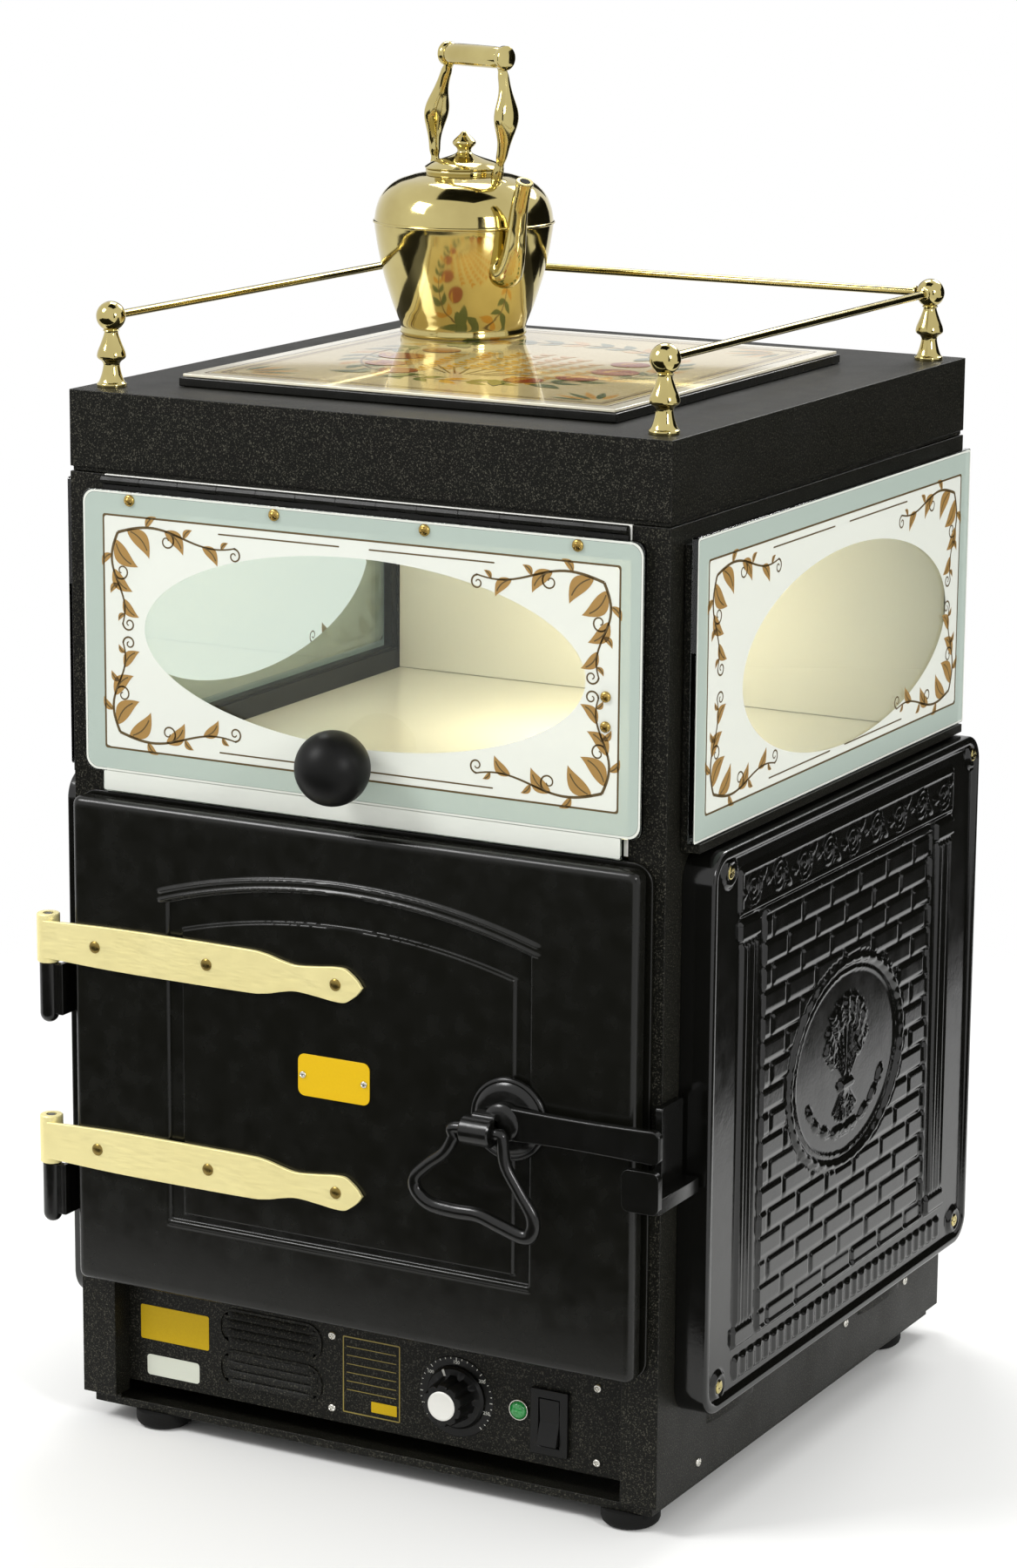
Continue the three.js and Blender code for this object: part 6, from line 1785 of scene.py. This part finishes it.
@dataclass
class Kettle(Assembly):
    """Polished brass kettle: bellied body with a seam bead, swan spout, lid and bowed handle. The body's
    profile is in shares of its radius and shoulder height, and the spout's line of its reach and height."""

    radius: float = 64.5
    shoulder: float = 115
    lower: Pairs = (
        (0.68, 0), (0.705, 0.018), (0.7, 0.06), (0.745, 0.125), (0.79, 0.19), (0.885, 0.36), (0.95, 0.52),
        (0.985, 0.64), (0.996, 0.69))
    upper: Pairs = ((0.996, 0.71), (0.97, 0.79), (0.9, 0.875), (0.76, 0.945), (0.57, 0.985), (0.44, 1))
    base: Pairs = ((0, 1.2), (38, 1.2), (42, 0))
    bead: float = 1.1
    collar: Pairs = ((27.3, 115.2), (27.6, 116.2), (27.6, 117.4), (27, 118), (25.6, 118))
    wall: float = 1.6
    floor: float = 2.8
    lid: Pairs = (
        (28, 0), (28.2, 0.8), (27.6, 1.5), (22.4, 4.6), (12.6, 7.8), (5.8, 10.6), (5.2, 13.6), (8, 16.6),
        (8.2, 18.8), (5.6, 21.6), (3.6, 23.4), (1.8, 25.4), (0, 26))
    plug: Pairs = ((0, -5), (22.9, -5), (22.9, 0))
    spout_turn: float = -32
    spout: Pairs = (
        (0.56, 0.46), (0.68, 0.43), (0.76, 0.45), (0.83, 0.56), (0.87, 0.7), (0.91, 0.83), (0.96, 0.93),
        (1, 1))
    spout_size: Pair = (88, 116)
    spout_root: float = 12.5
    spout_thins: tuple[float, ...] = (1, 0.92, 0.8, 0.66, 0.56, 0.5, 0.47, 0.46)
    handle_turn: float = -22
    grip_start: float = -21
    grip_up: float = 198
    grip: Pairs = (
        (0, 0), (7.6, 0), (8.6, 0.8), (8.6, 3.6), (7.9, 4.8), (7, 5.4), (7.3, 6.4), (7.7, 14), (7.8, 34))
    grip_half: float = 34
    uprights: tuple[Triple, ...] = ((-32, -14, -9), (36, 40, 9))
    upright_foot: float = 112
    boss: Pairs = ((0, 0), (8.6, 0), (8.8, 1.6), (7.4, 3.4), (5, 4.6), (0, 5))

    def build(self) -> None:
        """Makes the kettle's pieces."""
        foot = self.foot("kettle_body")[2]
        self.centre = np.array([*self.middle("kettle_lid")[:2], foot])
        self.body_piece()
        self.spout_piece()
        top = self.limits("kettle_lid")[1][2]
        dome = np.maximum(smooth_line(self.lid, 70), (0, -1))
        profile = np.vstack([self.plug, dome]) + (0, top - self.lid[-1][1] - foot)
        self.piece("kettle_lid_spun", lathe(profile, self.centre, UP, 72), BRIGHT_BRASS, "lid", "kettle_lid",
                   smooth=50)
        self.handle_piece()

    def body_piece(self) -> None:
        """Makes the body with its bead, a half circle, and its collar and hollow."""
        scale = np.array([self.radius, self.shoulder])
        lower, upper = smooth_line(self.lower, 48) * scale, smooth_line(self.upper, 40) * scale
        turn = np.linspace(-TAU / 4, TAU / 4, 9)
        bead = scale * (0.996, 0.7) + ellipse(turn, self.bead, self.bead)
        inner = np.vstack([upper[::-1][::4], lower[::-1][::5]]) - self.wall
        inner[:, 1] = np.maximum(inner[:, 1], self.floor)
        profile = np.vstack([self.base, lower, bead, upper, self.collar, [(25.6, 113.2)], inner,
                             [(0, self.floor)]])
        self.piece("kettle_body_spun", lathe(profile, self.centre, UP, 96), BRIGHT_BRASS, "kettle",
                   "kettle_body", smooth=50)

    def spout_piece(self) -> None:
        """Makes the spout, which thins along its line and has a small bell-shaped lip, and a black plug in
        its tip that paints the shade inside its mouth.
        """
        along = bearing(self.spout_turn)
        normal = (-along[1], along[0], 0)
        line = smooth_line(self.spout, 60) * self.spout_size
        path = self.centre + np.c_[line[:, :1] * along, line[:, 1]]
        share = np.linspace(0, 1, 60)
        thick = np.interp(share * 7, range(8), np.array(self.spout_thins) * self.spout_root)
        lip = 0.5 * np.exp(-((share - 0.975) / 0.02) ** 2)
        self.piece("kettle_spout", tube(path, normal, thick + lip, sides=32), BRIGHT_BRASS, "kettle",
                   smooth=50)
        # A black plug just inside the spout's tip paints the shade of its hollow mouth.
        mouth = tube(path[-3:] + (path[-1] - path[-2]) * 0.12, normal, 3.8, sides=24)
        self.piece("kettle_spout_mouth", mouth, RUBBER_AND_SPOUT_SHADE, "kettle")

    def handle_piece(self) -> None:
        """Makes the grip with its caps and rings, and the two uprights, which bow as a half sine, are pinched
        near both ends and swell between."""
        along, up = np.array([*bearing(self.handle_turn), 0]), np.array(UP)
        half = np.array(self.grip)
        grip = np.vstack([half, (half[::-1] * (1, -1) + (0, 2 * self.grip_half))[1:]])
        shells = [lathe(grip, self.centre + self.grip_start * along + self.grip_up * up, along)]
        share = np.linspace(0, 1, 48)
        swell = np.sin(math.pi * ramp(share, 0.12, 0.92)) ** 2
        pinch = 1 - 0.28 * np.exp(-((share - 0.14) / 0.035) ** 2)
        pinch = pinch - 0.2 * np.exp(-((share - 0.9) / 0.03) ** 2)
        level = self.upright_foot + (self.grip_up - self.upright_foot) * share
        for foot, head, bow in self.uprights:
            out = foot + (head - foot) * share + bow * np.sin(math.pi * share)
            path = self.centre + out[:, None] * along + level[:, None] * up
            shells.append(tube(path, (-along[1], along[0], 0), 4 * pinch * (1 + 0.45 * swell),
                               4 * pinch * (1 + 1.6 * swell), 28))
            boss = self.centre + foot * along + (self.upright_foot - 3.5) * up
            shells.append(lathe(self.boss, boss, UP, 32))
        self.piece("kettle_handle_cast", together(shells), BRIGHT_BRASS, "kettle", "kettle_handle", smooth=50)


# The studio round it


@dataclass
class Studio(Assembly):
    """Pale floor, white surroundings, soft lights, black cards and the camera, all in metres. A light has a
    place, a side and a power; a card has its middle, and the ways to its right and upper edges."""

    place: Triple = (1.44572, -2.66741, 1.13729)
    right: Triple = (0.87780564, 0.47896285, 0.00720091)
    down: Triple = (0.11333813, -0.19306447, -0.97461817)
    forward: Triple = (-0.46541566, 0.85634146, -0.22375783)
    lens: float = 102.32
    background: float = 1
    fill: float = 0.7
    aim: Triple = (0, 0, 0.45)
    lights: tuple[tuple[str, Triple, float, float], ...] = (
        ("key_softbox", (-1.35, -1.5, 2.2), 0.8, 36), ("side_softbox", (2.3, -1.2, 1.5), 0.6, 26),
        ("rear_softbox", (0.3, 2, 2.2), 0.9, 32), ("top_softbox", (-0.6, 1, 2.4), 0.8, 16))
    cards: tuple[tuple[str, Triple, Triple, Triple], ...] = (
        ("front_mat", (-0.95, -1.98, 0.001), (1.55, 0.1, 0), (-0.1, 1.37, 0)),
        ("side_mat", (1.13, 1.55, 0.001), (0.49, 0, 0), (0, 1.45, 0)),
        ("side_card", (1.5, 2.4, 0.9), (1.3, -0.7, 0), (0, 0, 0.9)),
        ("top_card", (0.05, -0.1, 2.3), (0.62, 0, 0), (0, 0.5, 0)),
        ("rear_card", (-0.9, 1.6, 1.2), (0.55, 0.3, 0), (0, 0, 0.22)),
        ("camera_card", (2, -1.5, 1.1), (0.15, 0.2, 0), (0, 0, 0.8)))

    def build(self) -> None:
        """Makes the studio."""
        data = bpy.data.cameras.new("camera")
        data.lens = self.lens
        data.sensor_width = 36
        data.clip_start, data.clip_end = 0.05, 50
        axes = np.array([self.right, -np.array(self.down), -np.array(self.forward)]).T
        turn = Matrix(axes.tolist()).to_4x4()
        bpy.context.scene.camera = self.hang("camera", data, Matrix.Translation(self.place) @ turn)
        floor = lathe([(0, -4), (9000, -4), (9000, -0.5), (0, -0.5)], (0, 0, 0), UP, 64)
        mesh = self.mesh("studio_floor", floor)
        mesh.materials.append(self.pale("painted_studio_floor", "#f4f4f2"))
        self.hang("studio_floor", mesh)
        self.surroundings()
        for name, place, size, power in self.lights:
            data = bpy.data.lights.new(name, "AREA")
            data.size = size
            data.energy = power
            turn = (Vector(self.aim) - Vector(place)).to_track_quat("-Z", "Y").to_matrix().to_4x4()
            self.hang(name, data, Matrix.Translation(place) @ turn)
        self.flags()
        self.glow()

    def hang(self, name: str, data: bpy.types.ID, matrix: Matrix = Matrix()) -> bpy.types.Object:
        """Puts a camera, a light or a mesh into the scene.

        Args:
            name: Its name.
            data: What it holds.
            matrix: Its place and turn.

        Returns:
            The new object.
        """
        thing = bpy.data.objects.new(name, data)
        thing.matrix_world = matrix
        bpy.context.scene.collection.objects.link(thing)
        return thing

    def seen(self, tree: bpy.types.NodeTree) -> Socket:
        """Adds the nodes that tell where a ray comes from.

        Args:
            tree: The node tree.

        Returns:
            1 for a ray from the camera, a mirror or glass, and 0 for light falling on a matt face.
        """
        path = add_node(tree, "ShaderNodeLightPath").outputs
        seen = path["Is Camera Ray"]
        for kind in ("Is Glossy Ray", "Is Transmission Ray"):
            either = add_node(tree, "ShaderNodeMath", {0: seen, 1: path[kind]}, operation="MAXIMUM")
            seen = either.outputs["Value"]
        return seen

    def pale(self, name: str, colour: str) -> Material:
        """A matt painted surface that takes the shadow near the oven and runs out into plain white round it.

        Args:
            name: The material's name.
            colour: Its own colour.

        Returns:
            The material.
        """
        material = bpy.data.materials.new(name)
        material.use_nodes = True
        tree = material.node_tree
        tree.nodes.clear()
        paint = add_node(tree, "ShaderNodeBsdfDiffuse", {"Color": linear(colour)})
        white = add_node(tree, "ShaderNodeEmission", {"Strength": self.background})
        place = add_node(tree, "ShaderNodeTexCoord").outputs["Object"]
        away = add_node(tree, "ShaderNodeVectorMath", {0: place}, operation="LENGTH").outputs["Value"]
        far = add_node(tree, "ShaderNodeMapRange", {"Value": away, "From Min": 0.45, "From Max": 1.3},
                       interpolation_type="SMOOTHSTEP").outputs["Result"]
        share = add_node(tree, "ShaderNodeMath", {0: self.seen(tree), 1: far}, operation="MULTIPLY")
        mix = add_node(tree, "ShaderNodeMixShader", {
            0: share.outputs["Value"], 1: paint.outputs["BSDF"], 2: white.outputs["Emission"]})
        add_node(tree, "ShaderNodeOutputMaterial", {"Surface": mix.outputs["Shader"]})
        return material

    def surroundings(self) -> None:
        """Makes the world: white where it is seen, and a plain level of light elsewhere."""
        world = bpy.data.worlds.new("studio")
        bpy.context.scene.world = world
        world.use_nodes = True
        tree = world.node_tree
        tree.nodes.clear()
        level = add_node(tree, "ShaderNodeMapRange", {
            "Value": self.seen(tree), "To Min": self.fill, "To Max": self.background})
        back = add_node(tree, "ShaderNodeBackground", {
            "Color": (1, 1, 1, 1), "Strength": level.outputs["Result"]})
        add_node(tree, "ShaderNodeOutputWorld", {"Surface": back.outputs["Background"]})

    def flags(self) -> None:
        """Puts the black cards by the oven, which only polished pieces mirror. An upright card bows slightly
        across its width, as the square of the way from its middle."""
        run = np.linspace(-1, 1, 9)[:, None]
        for name, middle, across, up in self.cards:
            facing = np.cross(across, up) / np.linalg.norm(np.cross(across, up))
            bow = 0 if abs(facing[2]) > 0.9 else 0.06 * np.linalg.norm(across)
            line = np.array(middle) + run * across + run ** 2 * bow * facing
            back = line - facing * 0.004
            rings = np.stack([line - up, line + up, back + up, back - up], axis=1)
            mesh = self.mesh(name, grid_shell(rings / MM))
            self.dress(mesh, FLAG_CLOTH)
            card = self.hang(name, mesh)
            card.visible_camera = card.visible_diffuse = False
            card.visible_shadow = card.visible_transmission = False

    def glow(self) -> None:
        """Lights the warming compartment from just below and in front of its lamp."""
        data = bpy.data.lights.new("compartment_glow", "POINT")
        data.energy = 0.9
        data.color = (1, 0.84, 0.6)
        data.shadow_soft_size = 0.03
        low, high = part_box("display_lamp")
        place = ((low[0] + high[0]) / 2, low[1] - 0.05, low[2] - 0.02)
        lamp = self.hang("compartment_glow", data, Matrix.Translation(place))
        lamp.visible_camera = lamp.visible_transmission = lamp.visible_glossy = False


def main() -> None:
    """Builds the sub-assemblies in order."""
    logging.basicConfig(level=logging.INFO, format="%(name)s: %(message)s")
    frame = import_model()
    bpy.context.scene.view_settings.view_transform = "Standard"
    finishes: dict[Finish, Material] = {}
    for kind in (Case, ControlPanel, Chamber, OvenDoor, Latch, WarmingCompartment, CastPlates, Gallery,
                 PictureTile, Kettle, Studio):
        kind(frame, finishes).build()
    bpy.context.view_layer.update()


if __name__ == "__main__":
    main()
